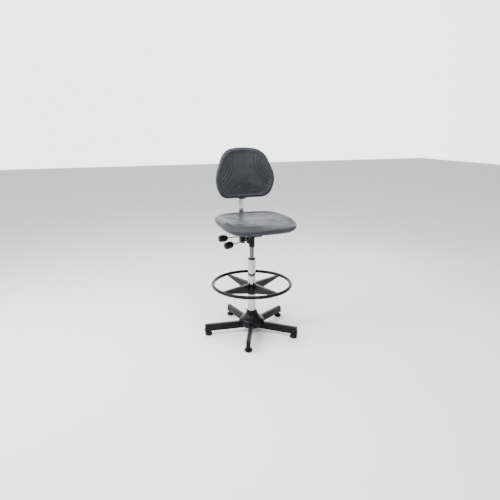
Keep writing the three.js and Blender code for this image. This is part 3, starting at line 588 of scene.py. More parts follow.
def gather(name, parts, sharp=38):
    work = bmesh.new()
    for part in parts:
        work.from_mesh(part.data)
    mesh = bpy.data.meshes.new(name)
    work.to_mesh(mesh)
    work.free()
    for material in parts[0].data.materials:
        mesh.materials.append(material)
    for part in parts:
        bpy.data.objects.remove(part)
    piece = bpy.data.objects.new(name, mesh)
    bpy.context.scene.collection.objects.link(piece)
    shadeSmooth(piece, sharp)
    return piece


def cornered(x0, y0, x1, y1, corner):
    return rounded([(x0, y0, corner), (x1, y0, corner), (x1, y1, corner), (x0, y1, corner)], closed=True)


def arc(x, y, r, start, end, steps):
    turns = [start + (end - start) * k / steps for k in range(steps + 1)]
    return [(x + r * math.cos(a), y + r * math.sin(a)) for a in turns]


def standFor(piece, node, body):
    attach(piece, body)
    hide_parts(node)
    return piece


# five square tubes, each with an end cap and a glide; pastGlide is how far a tube runs on beyond its glide
baseLook = {
    "armWidth": 25.0, "tubeCorner": 3.5, "tubeWall": 2.0, "hubGap": 0.3, "pastGlide": 17.0,
    "capGap": 0.3, "capCorner": 3.2, "capLean": 3.5, "capSoft": 2.5,
}


def onArm(angle, points):
    c, s = math.cos(angle), math.sin(angle)
    return [(x * c - y * s, x * s + y * c, z) for x, y, z in points]


def glideAt(k):
    low, high = spot(f"glide_{k}")
    return (low.x + high.x) / 2, (low.y + high.y) / 2


def armAngle(k):
    x, y = glideAt(k)
    return math.atan2(y, x)


def armEnd(k):
    return math.hypot(*glideAt(k)) + baseLook["pastGlide"]


def makeArm(k):
    look = baseLook
    angle = armAngle(k)
    low, high = spot(f"base_arm_{k}")
    bottom, top = low.z, high.z
    middle = (bottom + top) / 2
    start = spot("base_hub")[1].x + look["hubGap"]
    end = armEnd(k)
    wide = look["armWidth"] / 2
    wall = look["tubeWall"]
    outer = cornered(-wide, bottom, wide, top, look["tubeCorner"])
    inner = cornered(-wide + wall, bottom + wall, wide - wall, top - wall, look["tubeCorner"] - 1.4)
    rings = []
    for x, outline, inset in ((start, outer, 0), (end - 0.5, outer, 0), (end, outer, 0.4)):
        shrink = 1 - inset / wide
        rings.append(onArm(angle, [(x, y * shrink, middle + (z - middle) * shrink) for y, z in outline]))
    rings.append(onArm(angle, [(end, y, z) for y, z in inner]))
    rings.append(onArm(angle, [(start, y, z) for y, z in inner]))
    arm = loft(f"baseArm{k}", rings, powderCoat, looped=True)
    standFor(arm, f"base_arm_{k}", "base")


# how much of the lean a ring of the cap takes: none inside the arm, all of it at the face
def leanShare(forward):
    return min(1, max(0, forward / baseLook["capSoft"]))


def makeEndCap(k):
    look = baseLook
    angle = armAngle(k)
    capLow, capHigh = spot(f"arm_end_cap_{k}")
    face = armEnd(k) + look["capGap"]
    wide = look["armWidth"] / 2
    middle = (capLow.z + capHigh.z) / 2
    half = (capHigh.z - capLow.z) / 2
    rings = []
    steps = ((-20, -2.4), (0, -2.4), (0, -0.6), (0.5, 0), (1.9, 0), (2.6, -0.5), (3.0, -1.6), (2.5, -3.2),
             (2.4, -6.0))
    for forward, grow in steps:
        outline = cornered(-wide - grow, middle - half - grow, wide + grow, middle + half + grow,
                           look["capCorner"])
        lean = look["capLean"] * leanShare(forward)
        rings.append(onArm(angle, [(face + forward + lean * (middle + half - z) / half, y, z) for y,
                                   z in outline]))
    cap = loft(f"endCap{k}", rings, satinPlastic, sharp=50)
    standFor(cap, f"arm_end_cap_{k}", "base")


def makeGlide(k):
    low, high = spot(f"glide_{k}")
    r = max(high.x - low.x, high.y - low.y) / 2
    neck = 9.5
    outline = rounded([
        (0, 0.8), (r * 0.55, 0.8), (r * 0.6, 0, 1), (r - 6, 0, 5), (r - 0.2, 6, 5), (r, 12, 4),
        (r - 3.5, 18.5, 4),
        (neck + 3, 22.5, 3), (neck, 24.5, 1.5), (neck, 27.5, 0.5), (5, 27.7), (5, high.z - 1, 1),
        (0, high.z),
    ])
    glide = revolve(f"glideFoot{k}", outline, satinPlastic, glideAt(k), 72)
    standFor(glide, f"glide_{k}", f"glide_{k}")


for number in range(1, 6):
    makeArm(number)
    makeEndCap(number)
    makeGlide(number)

coverLook = {"rim": 35.0, "shoulder": 5.5, "shoulderWidth": 21.0, "shoulderZ": 82.0, "shoulderTall": 17.0,
             "room": 1.2}


def makeHub():
    low, high = spot("base_hub")
    tube = spot("column_tube")[1].x + 0.4
    outline = [(tube, low.z), (high.x - 1, low.z), (high.x, low.z + 1), (high.x, high.z - 1),
               (high.x - 1, high.z), (tube, high.z)]
    hub = revolve("hubTube", outline, powderCoat, segments=72, closed=True)
    standFor(hub, "base_hub", "base")


# the cover flares out over the arms, and swells a little where each one leaves it
def makeHubCover():
    look = coverLook
    low, high = spot("hub_cover")
    skirt = (high.x - low.x) / 2
    rim = look["rim"]
    armLow, armHigh = spot("base_arm_5")
    arm = armHigh.z
    outer = rounded([
        (skirt - 10, low.z), (skirt - 2.5, arm - 13, 8), (skirt - 0.3, arm + 2, 10),
        (skirt - 5.5, arm + 16, 12),
        (rim + 17, arm + 31, 18), (rim + 4.5, arm + 48, 16), (rim + 1, high.z - 5, 4),
        (rim - 0.3, high.z, 1.6),
        (rim - 4.5, high.z, 1.6), (rim - 6, high.z - 2.5),
    ], steps=7)
    inner = [
        (rim - 9.6, high.z - 3), (rim - 9.6, high.z - 4.5), (rim - 2.6, high.z - 4.7),
        (rim - 2.5, arm + 49),
        (rim + 14, arm + 27), (skirt - 8.5, arm + 13), (skirt - 3.4, arm + 2), (skirt - 5.4, arm - 12),
        (skirt - 12.5, low.z),
    ]
    profile = outer + inner
    cover = revolve("hubCover", profile, satinPlastic, segments=360, closed=True)
    angles = [armAngle(k) for k in range(1, 6)]
    for vertex in cover.data.vertices:
        x, y, z = (vertex.co - columnAxis) / mm
        r = math.hypot(x, y)
        if r < rim + 6:
            continue
        turn = math.atan2(y, x)
        off = min(abs((turn - a + math.pi) % (2 * math.pi) - math.pi) for a in angles) * r
        alongArm = math.exp(-((off / look["shoulderWidth"]) ** 2))
        bulge = alongArm * math.exp(-(((z - look["shoulderZ"]) / look["shoulderTall"]) ** 2))
        grow = 1 + bulge * look["shoulder"] * min(1, (r - rim - 6) / 20) / r
        vertex.co = columnAxis + Vector((x * grow, y * grow, z + bulge * 1.5)) * mm
    shadeSmooth(cover)
    cutters = []
    for k, angle in enumerate(angles):
        wide = baseLook["armWidth"] / 2 + look["room"]
        outline = cornered(-wide, armLow.z - 40, wide, armHigh.z + look["room"], 4)
        rings = [onArm(angle, [(x, y, z) for y, z in outline]) for x in (20, 120)]
        cutters.append(loft(f"slotTool{k}", rings, satinPlastic))
    carve(cover, cutters)
    standFor(cover, "hub_cover", "base")


makeHub()
makeHubCover()
print("base made")


# the gas column, from the foot up: outer tube, guide bush, gas spring and foot
def makeColumn():
    low, high = spot("column_tube")
    r = high.x
    bore = r - 1.7
    outline = rounded([(bore, low.z), (r, low.z, 0.6), (r, high.z, 0.5), (bore, high.z)], closed=True)
    tube = revolve("columnTube", outline, columnChromePaintedShade, segments=128, closed=True)
    standFor(tube, "column_tube", "base")

    low, high = spot("guide_bush")
    spring = spot("pressure_tube")[1].x
    collar = spot("column_tube")[1].z + 0.3
    outline = rounded([
        (spring + 0.4, low.z), (bore - 0.3, low.z), (bore - 0.3, collar), (r, collar, 0.4),
        (r, high.z - 1, 1.6),
        (r - 4, high.z, 2), (spring + 3.5, high.z, 1.5), (spring + 0.4, high.z - 4, 1),
    ], closed=True)
    bush = revolve("guideBush", outline, satinPlastic, segments=96, closed=True)
    standFor(bush, "guide_bush", "base")

    low, high = spot("pressure_tube")
    cone = spot("taper_socket")[0].z + 2
    outline = rounded([
        (5.4, low.z), (spring - 1.2, low.z, 1), (spring, low.z + 3, 1), (spring, cone, 2),
        (spring - 0.8, high.z, 0.5),
        (3.4, high.z), (3.4, high.z - 22), (spring - 2, high.z - 26), (spring - 2, low.z + 22),
        (5.4, low.z + 22),
    ], closed=True)
    inner = revolve("gasSpringTube", outline, dullChrome, segments=96, closed=True)
    standFor(inner, "pressure_tube", "seat_frame")

    low, high = spot("column_foot")
    foot = revolve("columnFoot", [(5.4, low.z), (high.x - 0.6, low.z), (high.x, low.z + 0.6),
                                  (high.x, high.z), (5.4, high.z)],
                   zincSteel, segments=72, closed=True)
    standFor(foot, "column_foot", "base")


makeColumn()
print("column made")

starLook = {"wide": 13.0, "tipWide": 6.5, "flange": 1.6, "flangeThick": 4.0, "rootDrop": 66.0,
            "tipDrop": 13.0}


def makeFootring():
    # the frame's ring has ten flats round its tube, so its box is a little less tall than the round tube
    low, high = spot("footring")
    tubeR = (high.z - low.z) / 2 / math.cos(math.pi / 10)
    ringR = (high.x - low.x) / 2 - tubeR
    middle = (low.z + high.z) / 2
    outline = [(ringR + x, middle + y) for x, y in circle(tubeR, 28)]
    ring = revolve("footringTube", outline, powderCoat, segments=240, sharp=60, closed=True)
    standFor(ring, "footring", "footring")


# each arm is a tapered web under a broader top flange, with its open channel below
def starArm(k, angle, hubR, top, reach):
    look = starLook
    rings = []
    stations = 14
    for i in range(stations + 1):
        t = i / stations
        x = hubR - 6 + (reach - hubR + 6) * t
        half = look["wide"] + (look["tipWide"] - look["wide"]) * t
        drop = look["rootDrop"] + (look["tipDrop"] - look["rootDrop"]) * t
        edge = look["flangeThick"]
        lip = look["flange"] * (1 - 0.6 * t)
        section = rounded([
            (-half - lip, top - edge, 0.8), (-half - lip, top, 2.6), (half + lip, top, 2.6),
            (half + lip, top - edge, 0.8),
            (half - 0.6, top - edge - 0.6, 0.6), (half * 0.82, top - drop, 1.5),
            (half * 0.82 - 3, top - drop, 1),
            (half * 0.62, top - edge - 3, 2), (-half * 0.62, top - edge - 3, 2),
            (-half * 0.82 + 3, top - drop, 1),
            (-half * 0.82, top - drop, 1.5), (-half + 0.6, top - edge - 0.6, 0.6),
        ], closed=True, steps=3)
        rings.append(onArm(angle, [(x, y, z) for y, z in section]))
    return loft(f"starArm{k}", rings, powderCoat, sharp=42)


def makeStar():
    low, high = spot("footring_star")
    ringLow, ringHigh = spot("footring")
    colletHigh = spot("footring_collet")[1]
    bore = spot("column_tube")[1].x + 2.4
    hubR = colletHigh.x + 1
    reach = (ringHigh.x - ringLow.x) / 2 - 16
    screwZ = middleOf("footring_clamp_screw").z
    turn = next(joint for joint in frame["record"]["behaviour"]["joints"]
                if joint["name"] == "footring_clamp_turn")
    screwAngle = math.atan2(turn["axis"][1], turn["axis"][0])
    outline = rounded([(bore, low.z), (hubR - 1, low.z, 1), (hubR, low.z + 2, 1), (hubR, high.z - 2, 1.5),
                       (hubR - 2, high.z, 1.5), (bore, high.z)], closed=True)
    hub = revolve("footringStar", outline, powderCoat, segments=96, closed=True)
    tip = math.radians(45)
    for k in range(4):
        angle = screwAngle + tip + math.pi / 2 * k
        fuse(hub, starArm(k, angle, hubR, high.z, reach))
    lugOutline = cornered(-13, screwZ - 20, 13, screwZ + 20, 6)
    rings = [onArm(screwAngle, [(x, y * s, screwZ + (z - screwZ) * s) for y, z in lugOutline])
             for x, s in ((24, 1), (34, 1), (35.4, 0.96), (36, 0.9))]
    fuse(hub, loft("clampLug", rings, powderCoat))
    out = Vector((math.cos(screwAngle), math.sin(screwAngle), 0))

    def onScrew(r):
        return out * r + Vector((0, 0, screwZ))

    bores = [
        revolve("boreTool", [(0, low.z - 5), (bore, low.z - 5), (bore, high.z + 5), (0, high.z + 5)],
                powderCoat, segments=96),
        pin("screwTool", onScrew(20), onScrew(50), 4.4, powderCoat, 0.1),
        pin("headTool", onScrew(31.4), onScrew(50), 6.9, powderCoat, 0.1),
    ]
    carve(hub, bores)
    standFor(hub, "footring_star", "footring")

    low, high = spot("footring_collet")
    inside = bore - 2.1
    outline = rounded([
        (inside, low.z), (high.x - 0.4, low.z, 0.8), (high.x - 0.4, low.z + 3, 0.4),
        (bore - 0.3, low.z + 3), (bore - 0.3, high.z),
        (inside, high.z),
    ], closed=True)
    collet = revolve("footringCollet", outline, satinPlastic, segments=96, closed=True)
    standFor(collet, "footring_collet", "footring")

    start = onScrew(bore + 0.4)
    end = onScrew(39)
    shank = pin("clampShank", start, onScrew(33), 4, powderCoat)
    head = pin("clampHead", onScrew(31.6), end, 6.4, powderCoat, 0.7, 36)
    key = pin("keyTool", onScrew(35.5), end + out * 2, 3.3, powderCoat, 0.05, 6)
    carve(head, [key])
    screw = gather("footringClampScrew", [shank, head])
    standFor(screw, "footring_clamp_screw", "footring_screw")


makeFootring()
makeStar()
print("footring made")

panLook = {"corner": 22.0, "fold": 5.0, "sheet": 2.6, "lip": 2.0}


# pressed from sheet: the walls slope in, the folds are rounded and the lower edge turns out in a small lip
def makePan():
    look = panLook
    low, high = spot("seat_pan")
    halfTop = high.x
    halfBottom = halfTop - 30
    front, back = low.y, high.y
    middle = (front + back) / 2
    rings = []

    def ring(height, inset, corner):
        share = (height - low.z) / (high.z - low.z)
        half = halfBottom + (halfTop - halfBottom) * share - inset
        reach = (back - front) / 2 - inset - (1 - share) * 6
        outline = cornered(-half, middle - reach, half, middle + reach, corner)
        return [(x, y, height) for x, y in outline]

    sheet = look["sheet"]
    fold = look["fold"]
    rings.append(ring(high.z, 26, look["corner"] - 8))
    for t in (0, 25, 50, 70, 90):
        a = math.radians(t)
        rings.append(ring(high.z - fold * (1 - math.cos(a)), fold * (1 - math.sin(a)), look["corner"]))
    rings.append(ring(low.z + 3, 0, look["corner"]))
    rings.append(ring(low.z + 1.2, -0.3, look["corner"]))
    rings.append(ring(low.z, -look["lip"] * 0.4, look["corner"]))
    rings.append(ring(low.z, sheet, look["corner"] - 3))
    rings.append(ring(high.z - fold, sheet, look["corner"] - 3))
    rings.append(ring(high.z - sheet, sheet + fold * 0.8, look["corner"] - 5))
    rings.append(ring(high.z - sheet, 30, look["corner"] - 10))
    pan = loft("seatPan", rings, powderCoat)
    axle = middleOf("tilt_axle")
    slotY = middleOf("tilt_lever_bracket").y
    slotZ = 678
    tools = [
        pin("axleTool", (-120, axle.y, axle.z), (120, axle.y, axle.z), 5.4, powderCoat, 0.1),
        slab("barTool", cornered(60, 600, 160, high.z - 26, 6), (-36, 0, 0), (0, 1, 0), (0, 0, 1), 72,
             powderCoat, 0),
        slab("leverTool", cornered(slotY - 6, slotZ - 9, slotY + 6, slotZ + 12, 5), (-120, 0, 0),
             (0, 1, 0), (0, 0, 1), 70,
             powderCoat, 0),
    ]
    for side in (-1, 1):
        for y in (front + 20, back - 20):
            tools.append(pin("boltTool", (side * 58, y, high.z - 12), (side * 58, y, high.z + 5), 4.5,
                             powderCoat, 0.1))
    carve(pan, tools)
    standFor(pan, "seat_pan", "seat_frame")


socketLook = {"weld": 3.2, "fin": 8.0, "finY": -3.0}


def makeSocket():
    look = socketLook
    low, high = spot("taper_socket")
    springR = spot("pressure_tube")[1].x
    r = high.x
    coneTop = spot("pressure_tube")[1].z
    top = high.z
    outline = rounded([
        (springR + 0.3, low.z), (r, low.z, 1.5), (r, top - 4, 1), (r + look["weld"], top - 1, 1),
        (r + look["weld"], top),
        (springR - 0.5, top), (springR - 0.5, coneTop),
    ], closed=True)
    socket = revolve("taperSocket", outline, powderCoat, segments=72, closed=True)
    far = low.x
    root = -(springR + 1)
    gussetBottom = low.z + 22
    fin = rounded([
        (root, gussetBottom), (-r - 3, gussetBottom, 2), (far, gussetBottom + 6, 14), (far, top - 0.3),
        (root, top - 0.3),
    ], closed=True, steps=7)
    gusset = slab("gusset", fin, (0, look["finY"], 0), (1, 0, 0), (0, 0, 1), look["fin"], powderCoat, 1)
    fuse(socket, gusset)
    bore = revolve("boreTool", [(0, low.z - 4), (springR + 0.3, low.z - 4), (springR + 0.3, coneTop - 68),
                                (springR - 0.5, coneTop),
                                (springR - 0.5, top + 4), (0, top + 4)], powderCoat, segments=72)
    # the window that the lift lever reaches in through
    turn = math.atan2(-42, -36)
    across = Vector((math.cos(turn), math.sin(turn), 0))
    side = Vector((-math.sin(turn), math.cos(turn), 0))
    origin = Vector((2, -1, 0)) + side * -5.5
    window = slab("windowTool", cornered(0, 650, 60, 682, 4), origin, across, (0, 0, 1), 11, powderCoat, 0)
    carve(socket, [bore, window])
    standFor(socket, "taper_socket", "seat_frame")


makePan()
makeSocket()

# hand levers: bent steel rods with a cross pin, each with a ribbed barrel knob pushed on
leverLook = {"rodR": 3.5, "bend": 13.0, "knobR": 22.2, "knobHalf": 29.2, "knobRibs": 28, "ribDepth": 0.55,
             "pinR": 3.0, "pinHalf": 17.0}


def makeLever(name, body, knob, run, pivot):
    look = leverLook
    points = [tuple(knob)] + [tuple(p) + ((look["bend"],) if i < len(run) - 1 else ()) for i,
                              p in enumerate(run)]
    path = rounded(points, size=3, steps=8)
    rod = sweep(f"{name}Rod", path, circle(look["rodR"], 24), dullChrome, side=(0, 1, 0), endRound=1.2,
                sharp=50)
    x, y, z = pivot
    half, pinR = look["pinHalf"], look["pinR"]
    cross = pin(f"{name}Pin", (x, y - half, z), (x, y + half, z), pinR, zincSteel)
    clips = [pin(f"{name}Clip", (x, y + s * (half - 0.8), z), (x, y + s * (half + 0.2), z), pinR + 1.6,
                 zincSteel, 0.3)
             for s in (-1, 1)]
    collar = pin(f"{name}Collar", (x, y - 6, z), (x, y + 6, z), pinR + 2, zincSteel)
    whole = gather(f"{name}LeverRod", [rod, cross, collar, *clips])
    standFor(whole, f"{name}_lever_rod", body)

    along = (path[2] - path[0]).normalized()
    r, half = look["knobR"], look["knobHalf"]
    profile = rounded([
        (0, -half), (r * 0.5, -half, 3), (r * 0.9, -half + 3.5, 6), (r, -4, 9), (r * 0.93, half * 0.5, 8),
        (r * 0.7, half - 5, 6),
        (r * 0.42, half, 3), (look["rodR"] + 0.3, half, 1), (look["rodR"] + 0.3, half - 4),
    ], steps=6)
    segments = look["knobRibs"] * 8
    points, faces = [], []
    side = along.orthogonal().normalized()
    up = along.cross(side)
    for i, (radius, step) in enumerate(profile):
        ribbed = 1 if -half + 6 < step < half - 7 and radius > r * 0.6 else 0
        for k in range(segments):
            a = 2 * math.pi * k / segments
            wave = 0.5 - 0.5 * math.cos(a * look["knobRibs"])
            here = radius - ribbed * look["ribDepth"] * wave ** 3
            points.append(tuple(Vector(knob) + along * step + side * here * math.cos(a) + up * here
                                * math.sin(a)))
    for i in range(len(profile) - 1):
        for k in range(segments):
            n = (k + 1) % segments
            faces.append((i * segments + k, i * segments + n, (i + 1) * segments + n,
                          (i + 1) * segments + k))
    last = (len(profile) - 1) * segments
    faces.append(tuple(last + k for k in range(segments)))
    grip = makePiece(f"{name}LeverKnob", points, faces, ribbedPlastic, 45)
    weld(grip)
    standFor(grip, f"{name}_lever_knob", body)


def weld(piece, sharp=38):
    work = bmesh.new()
    work.from_mesh(piece.data)
    bmesh.ops.remove_doubles(work, verts=work.verts, dist=1e-6)
    work.to_mesh(piece.data)
    work.free()
    shadeSmooth(piece, sharp)


# a folded clip: a web against the pan, and two ears with rounded ends round the pin
def makeBracket(name):
    low, high = spot(f"{name}_lever_bracket")
    middle = (low + high) / 2
    pivotZ = low.z + 7
    ears = []
    outline = rounded([
        (low.x + 2, high.z - 0.2), (low.x + 2, low.z, 6), (high.x - 2, low.z, 6),
        (high.x - 2, high.z - 0.2),
    ], closed=True, steps=7)
    for y in (low.y, high.y - 2.5):
        ears.append(slab(f"{name}Ear", outline, (0, y + 2.5, 0), (1, 0, 0), (0, 0, 1), 2.5, zincSteel, 0.4))
    web = slab(f"{name}Web", cornered(low.x, low.y, high.x, high.y, 2), (0, 0, high.z - 3), (1, 0, 0),
               (0, 1, 0), 3, zincSteel, 0.5)
    for ear in ears:
        carve(ear, [pin("pinTool", (middle.x, low.y - 5, pivotZ), (middle.x, high.y + 5, pivotZ), 3.4,
                        zincSteel, 0.1)])
    whole = gather(f"{name}LeverBracket", [*ears, web])
    standFor(whole, f"{name}_lever_bracket", "seat_frame")


liftPivot = (-34, -43, 658)
tiltPivot = (-42, 15, 678)
liftRun = [(-48, -64, 640), liftPivot, (2, -1, 668)]
makeLever("lift", "lift_lever", (-182, -92, 628), liftRun, liftPivot)
makeLever("tilt", "tilt_lever", (-184, 15, 645), [(-90, 15, 647), (-82, 15, 678), tiltPivot,
                                                  (-25, 15, 678)], tiltPivot)
makeBracket("lift")
makeBracket("tilt")


def makeAxle():
    low, high = spot("tilt_axle")
    y, z = (low.y + high.y) / 2, (low.z + high.z) / 2
    shaft = pin("axleShaft", (low.x, y, z), (high.x, y, z), 5, zincSteel, 0.8, 40)
    parts = [shaft]
    for side in (low.x + 1.6, high.x - 2.4):
        parts.append(pin("axleClip", (side, y, z), (side + 0.8, y, z), 6.6, zincSteel, 0.2, 40))
    standFor(gather("tiltAxle", parts), "tilt_axle", "seat_frame")


def makeSpring():
    y, z = middleOf("tilt_axle").yz
    turns, coil = 5, 9.0
    path = []
    for k in range(turns * 24 + 1):
        a = k / 24 * 2 * math.pi
        path.append((-15 + 30 * k / (turns * 24), y + coil * math.cos(a), z + coil * math.sin(a)))
    wire = sweep("tiltSpring", path, circle(1.7, 12), zincSteel, endRound=0.6, sharp=60)
    standFor(wire, "tilt_spring", "back_support")


def makeRocker():
    low, high = spot("back_rocker")
    y, z = middleOf("tilt_axle").yz
    base = low.z
    lower = rounded([(low.y, base + 24, 4), (low.y, base, 3), (high.y, base, 3), (high.y, base + 12, 6),
                     (y + 16, z + 2, 8)])
    outline = lower + arc(y, z, 13, 0.2, math.pi - 0.3, 16)
    ears = []
    for x in (low.x, high.x - 4):
        ear = slab("rockerEar", outline, (x, 0, 0), (0, 1, 0), (0, 0, 1), 4, powderCoat, 0.8)
        carve(ear, [pin("axleTool", (x - 5, y, z), (x + 9, y, z), 5.4, powderCoat, 0.1)])
        ears.append(ear)
    web = slab("rockerWeb", cornered(low.x + 0.5, low.y, high.x - 0.5, high.y, 2), (0, 0, base), (1, 0, 0),
               (0, 1, 0), 4, powderCoat, 0.6)
    boltAt = middleOf("bar_bolt")
    carve(web, [pin("boltTool", (boltAt.x, boltAt.y, base - 5), (boltAt.x, boltAt.y, base + 9), 5.3,
                    powderCoat, 0.1)])
    whole = gather("backRocker", [*ears, web])
    standFor(whole, "back_rocker", "back_support")


def makeClampBlock():
    low, high = spot("tilt_clamp_block")
    panLow = spot("seat_pan")[0]
    outline = rounded([
        (low.x, low.z + 6, 5), (low.x + 6, low.z, 4), (high.x - 4, low.z, 4), (high.x, low.z + 6, 4),
        (high.x, panLow.z - 2, 2),
        (high.x - 3, panLow.z - 1, 1), (high.x - 11, high.z, 3), (low.x, high.z, 4),
    ], closed=True)
    block = slab("tiltClampBlock", outline, (0, high.y, 0), (1, 0, 0), (0, 0, 1), high.y - low.y,
                 satinPlastic, 1.6)
    tools = []
    wide = high.x - low.x
    for k in range(1, 4):
        x = low.x + k * wide / 4
        tools.append(slab("ribTool", cornered(x - 1.8, low.z + 9, x + 1.8, panLow.z - 6, 1.6),
                          (0, low.y + 3, 0), (1, 0, 0), (0, 0, 1),
                          6, satinPlastic, 0))
    carve(block, tools)
    standFor(block, "tilt_clamp_block", "seat_frame")


# a hairpin of flat strip steel
def makeStrap():
    low, high = spot("tilt_clamp_strap")
    thick = 4.6
    middle = (low.x + high.x) / 2
    r = (high.x - low.x) / 2 - 2
    centre = low.z + r
    outer = [(low.x, high.z), *arc(middle, centre, r, math.pi, 2 * math.pi, 20), (high.x, high.z)]
    inner = arc(middle, centre, r - thick, 2 * math.pi, math.pi, 20)
    inner = [(high.x - thick, high.z), *inner, (low.x + thick, high.z)]
    strap = slab("tiltClampStrap", outer + inner, (0, high.y, 0), (1, 0, 0), (0, 0, 1), high.y - low.y,
                 zincSteel, 0.8)
    standFor(strap, "tilt_clamp_strap", "seat_frame")


makeAxle()
makeSpring()
makeRocker()
makeClampBlock()
makeStrap()


def hexBolt(name, at, down, r, headR, headHeight, length):
    base = Vector(at)
    axis = Vector((0, 0, -1 if down else 1))
    head = pin(f"{name}Head", base, base + axis * headHeight, headR, zincSteel, 0.7, 6)
    washer = pin(f"{name}Washer", base - axis * 0.1, base + axis * 1.0, headR + 1.2, zincSteel, 0.3, 32)
    shank = pin(f"{name}Shank", base + axis * 0.5, base - axis * length, r, zincSteel, 0.5)
    return gather(name, [head, washer, shank])


def makeBolts():
    for k in range(1, 5):
        low, high = spot(f"seat_bolt_{k}")
        middle = (low + high) / 2
        bolt = hexBolt(f"seatBolt{k}", (middle.x, middle.y, low.z + 5.5), True, 4, 6.5, 5.4,
                       high.z - low.z - 6)
        standFor(bolt, f"seat_bolt_{k}", "seat_frame")
    low, high = spot("bar_bolt")
    middle = (low + high) / 2
    bolt = hexBolt("barBolt", (middle.x, middle.y, high.z - 6.4), False, 5, 9, 6.4, high.z - low.z - 6.4)
    standFor(bolt, "bar_bolt", "back_support")


makeBolts()
print("mechanism made")

# the back bar's upright leans by lean degrees; legZ is the height of the leg's middle line
backLook = {
    "lean": 3.0, "bend": 52.0, "upright": 190.0, "legZ": 602.0, "barHalf": 6.0, "knobLobes": 6,
    "knobDip": 3.2,
}


def makeBar():
    look = backLook
    low, high = spot("back_bar")
    half = look["barHalf"]
    flat = high.x - half
    lean = math.radians(look["lean"])
    legZ = low.z + half
    bendR = look["bend"]
    right = math.pi / 2
    section = arc(flat, 0, half, -right, right, 16) + arc(-flat, 0, half, right, 3 * right, 16)
    # the middle line meets the upright where the leaning part's lowest point touches the bend
    middle = Vector((0, look["upright"] - bendR, legZ + bendR))
    path = [Vector((0, low.y, legZ)), Vector((0, low.y + 40, legZ))]
    turn = math.pi / 2 - lean
    for k in range(25):
        a = turn * k / 24
        path.append(middle + Vector((0, bendR * math.sin(a), -bendR * math.cos(a))))
    end = path[-1]
    top = high.z - half * math.sin(lean)
    for k in range(1, 5):
        z = end.z + (top - end.z) * k / 4
        path.append(Vector((0, end.y + (z - end.z) * math.tan(lean), z)))
    bar = sweep("backBar", path, section, barChromePaintedReflection, sharp=50)
    boltAt = middleOf("bar_bolt")
    carve(bar, [pin("boltTool", (boltAt.x, boltAt.y, legZ - 12), (boltAt.x, boltAt.y, legZ + 12), 5.3,
                    barChromePaintedReflection, 0.1)], 50)
    standFor(bar, "back_bar", "back_support")


makeBar()

# the back's own frame: across, up along the lean, and out towards the sitter
leanRad = math.radians(backLook["lean"])
backUp = Vector((0, math.sin(leanRad), math.cos(leanRad)))
backOut = Vector((0, -math.cos(leanRad), math.sin(leanRad)))
backFoot = Vector((0, 138, 871))


def onBack(x, height, depth):
    return backFoot + Vector((x, 0, 0)) + backUp * height + backOut * depth


def barDepth():
    rise = backFoot.z - backLook["legZ"] - backLook["bend"]
    wanted = backLook["upright"] + rise * math.tan(leanRad)
    return (backFoot.y - wanted) * math.cos(leanRad)


housingLook = {"half": 19.6, "depth": 14.0, "from": -11.0, "height": 205.0, "fit": 0.6, "corner": 6.5,
               "face": -22.3}
knobUp = 108
screwUps = (86, 176)


def makeHousing():
    look = housingLook
    d = barDepth()
    face = look["face"]
    half = look["half"]
    rear = d - look["depth"]
    rings = []
    low, high = look["from"], look["from"] + look["height"]
    steps = ((low, 1.2), (low + 0.4, 0.4), (low + 1.4, 0), (low + look["height"] * 0.5, 0),
             (high - 1.4, 0), (high - 0.4, 0.4), (high, 1.2))
    for height, inset in steps:
        outline = rounded([
            (-half + inset, face, 1), (-half + inset, rear + inset, look["corner"]),
            (half - inset, rear + inset, look["corner"]),
            (half - inset, face, 1),
        ], closed=True, steps=8)
        rings.append([onBack(x, height, w) for x, w in outline])
    housing = loft("backHousing", rings, satinPlastic)
    f = look["fit"]
    slotOutline = cornered(-17 - f, d - 6 - f, 17 + f, d + 6 + f, 5)
    slot = loft("slotTool", [[onBack(x, h, w) for x, w in slotOutline] for h in (low - 5, high + 5)],
                satinPlastic)
    screw = pin("screwTool", onBack(0, knobUp, rear - 5), onBack(0, knobUp, d), 4.4, satinPlastic, 0.1)
    tools = [slot, screw]
    for h in screwUps:
        tools.append(pin("mountTool", onBack(0, h, d), onBack(0, h, face + 5), 3.3, satinPlastic, 0.1))
    # two shallow sink marks moulded down the flanks
    for side in (-1, 1):
        outline = cornered(low + 18, rear + 8, high - 18, face - 8, 5)
        rings = [[onBack(side * x, h, w) for h, w in outline] for x in (half - 1.1, half + 4)]
        tools.append(loft("flankTool", rings, satinPlastic))
    carve(housing, tools)
    standFor(housing, "back_housing", "backrest")


def makeBackKnob():
    look = backLook
    d = barDepth()
    face = d - housingLook["depth"] - 1
    depth, r = 20.0, 21.0
    lobes = look["knobLobes"]
    count = lobes * 24
    rings = []
    steps = ((0, -3.0), (-0.6, -1.0), (-2, 0), (-depth + 5, 0), (-depth + 2, -0.8), (-depth + 0.5, -2.6),
             (-depth, -5), (-depth + 1.2, -9), (-depth + 1.2, -14))
    for step, grow in steps:
        ring = []
        for k in range(count):
            a = 2 * math.pi * k / count
            dip = look["knobDip"] * (0.5 - 0.5 * math.cos(a * lobes + math.pi)) ** 2
            dip = dip if -depth < step < -1 or grow > -4 else dip * 0.4
            radius = r + grow - dip
            ring.append(tuple(onBack(radius * math.cos(a), knobUp + radius * math.sin(a), face + step)))
        rings.append(ring)
    grip = loft("knobGrip", rings, ribbedPlastic, sharp=50)
    screw = pin("knobScrew", onBack(0, knobUp, face - 2), onBack(0, knobUp, d - 6 - 2.4), 4, ribbedPlastic)
    whole = gather("backClampKnob", [grip, screw], 50)
    standFor(whole, "back_clamp_knob", "back_knob")


makeHousing()
makeBackKnob()
screwEnd = barDepth() + 7.2
for number, up in enumerate(screwUps, 1):
    screw = pin(f"backScrew{number}", onBack(0, up, screwEnd), onBack(0, up, -17), 3, zincSteel, 0.4)
    standFor(screw, f"back_screw_{number}", "backrest")


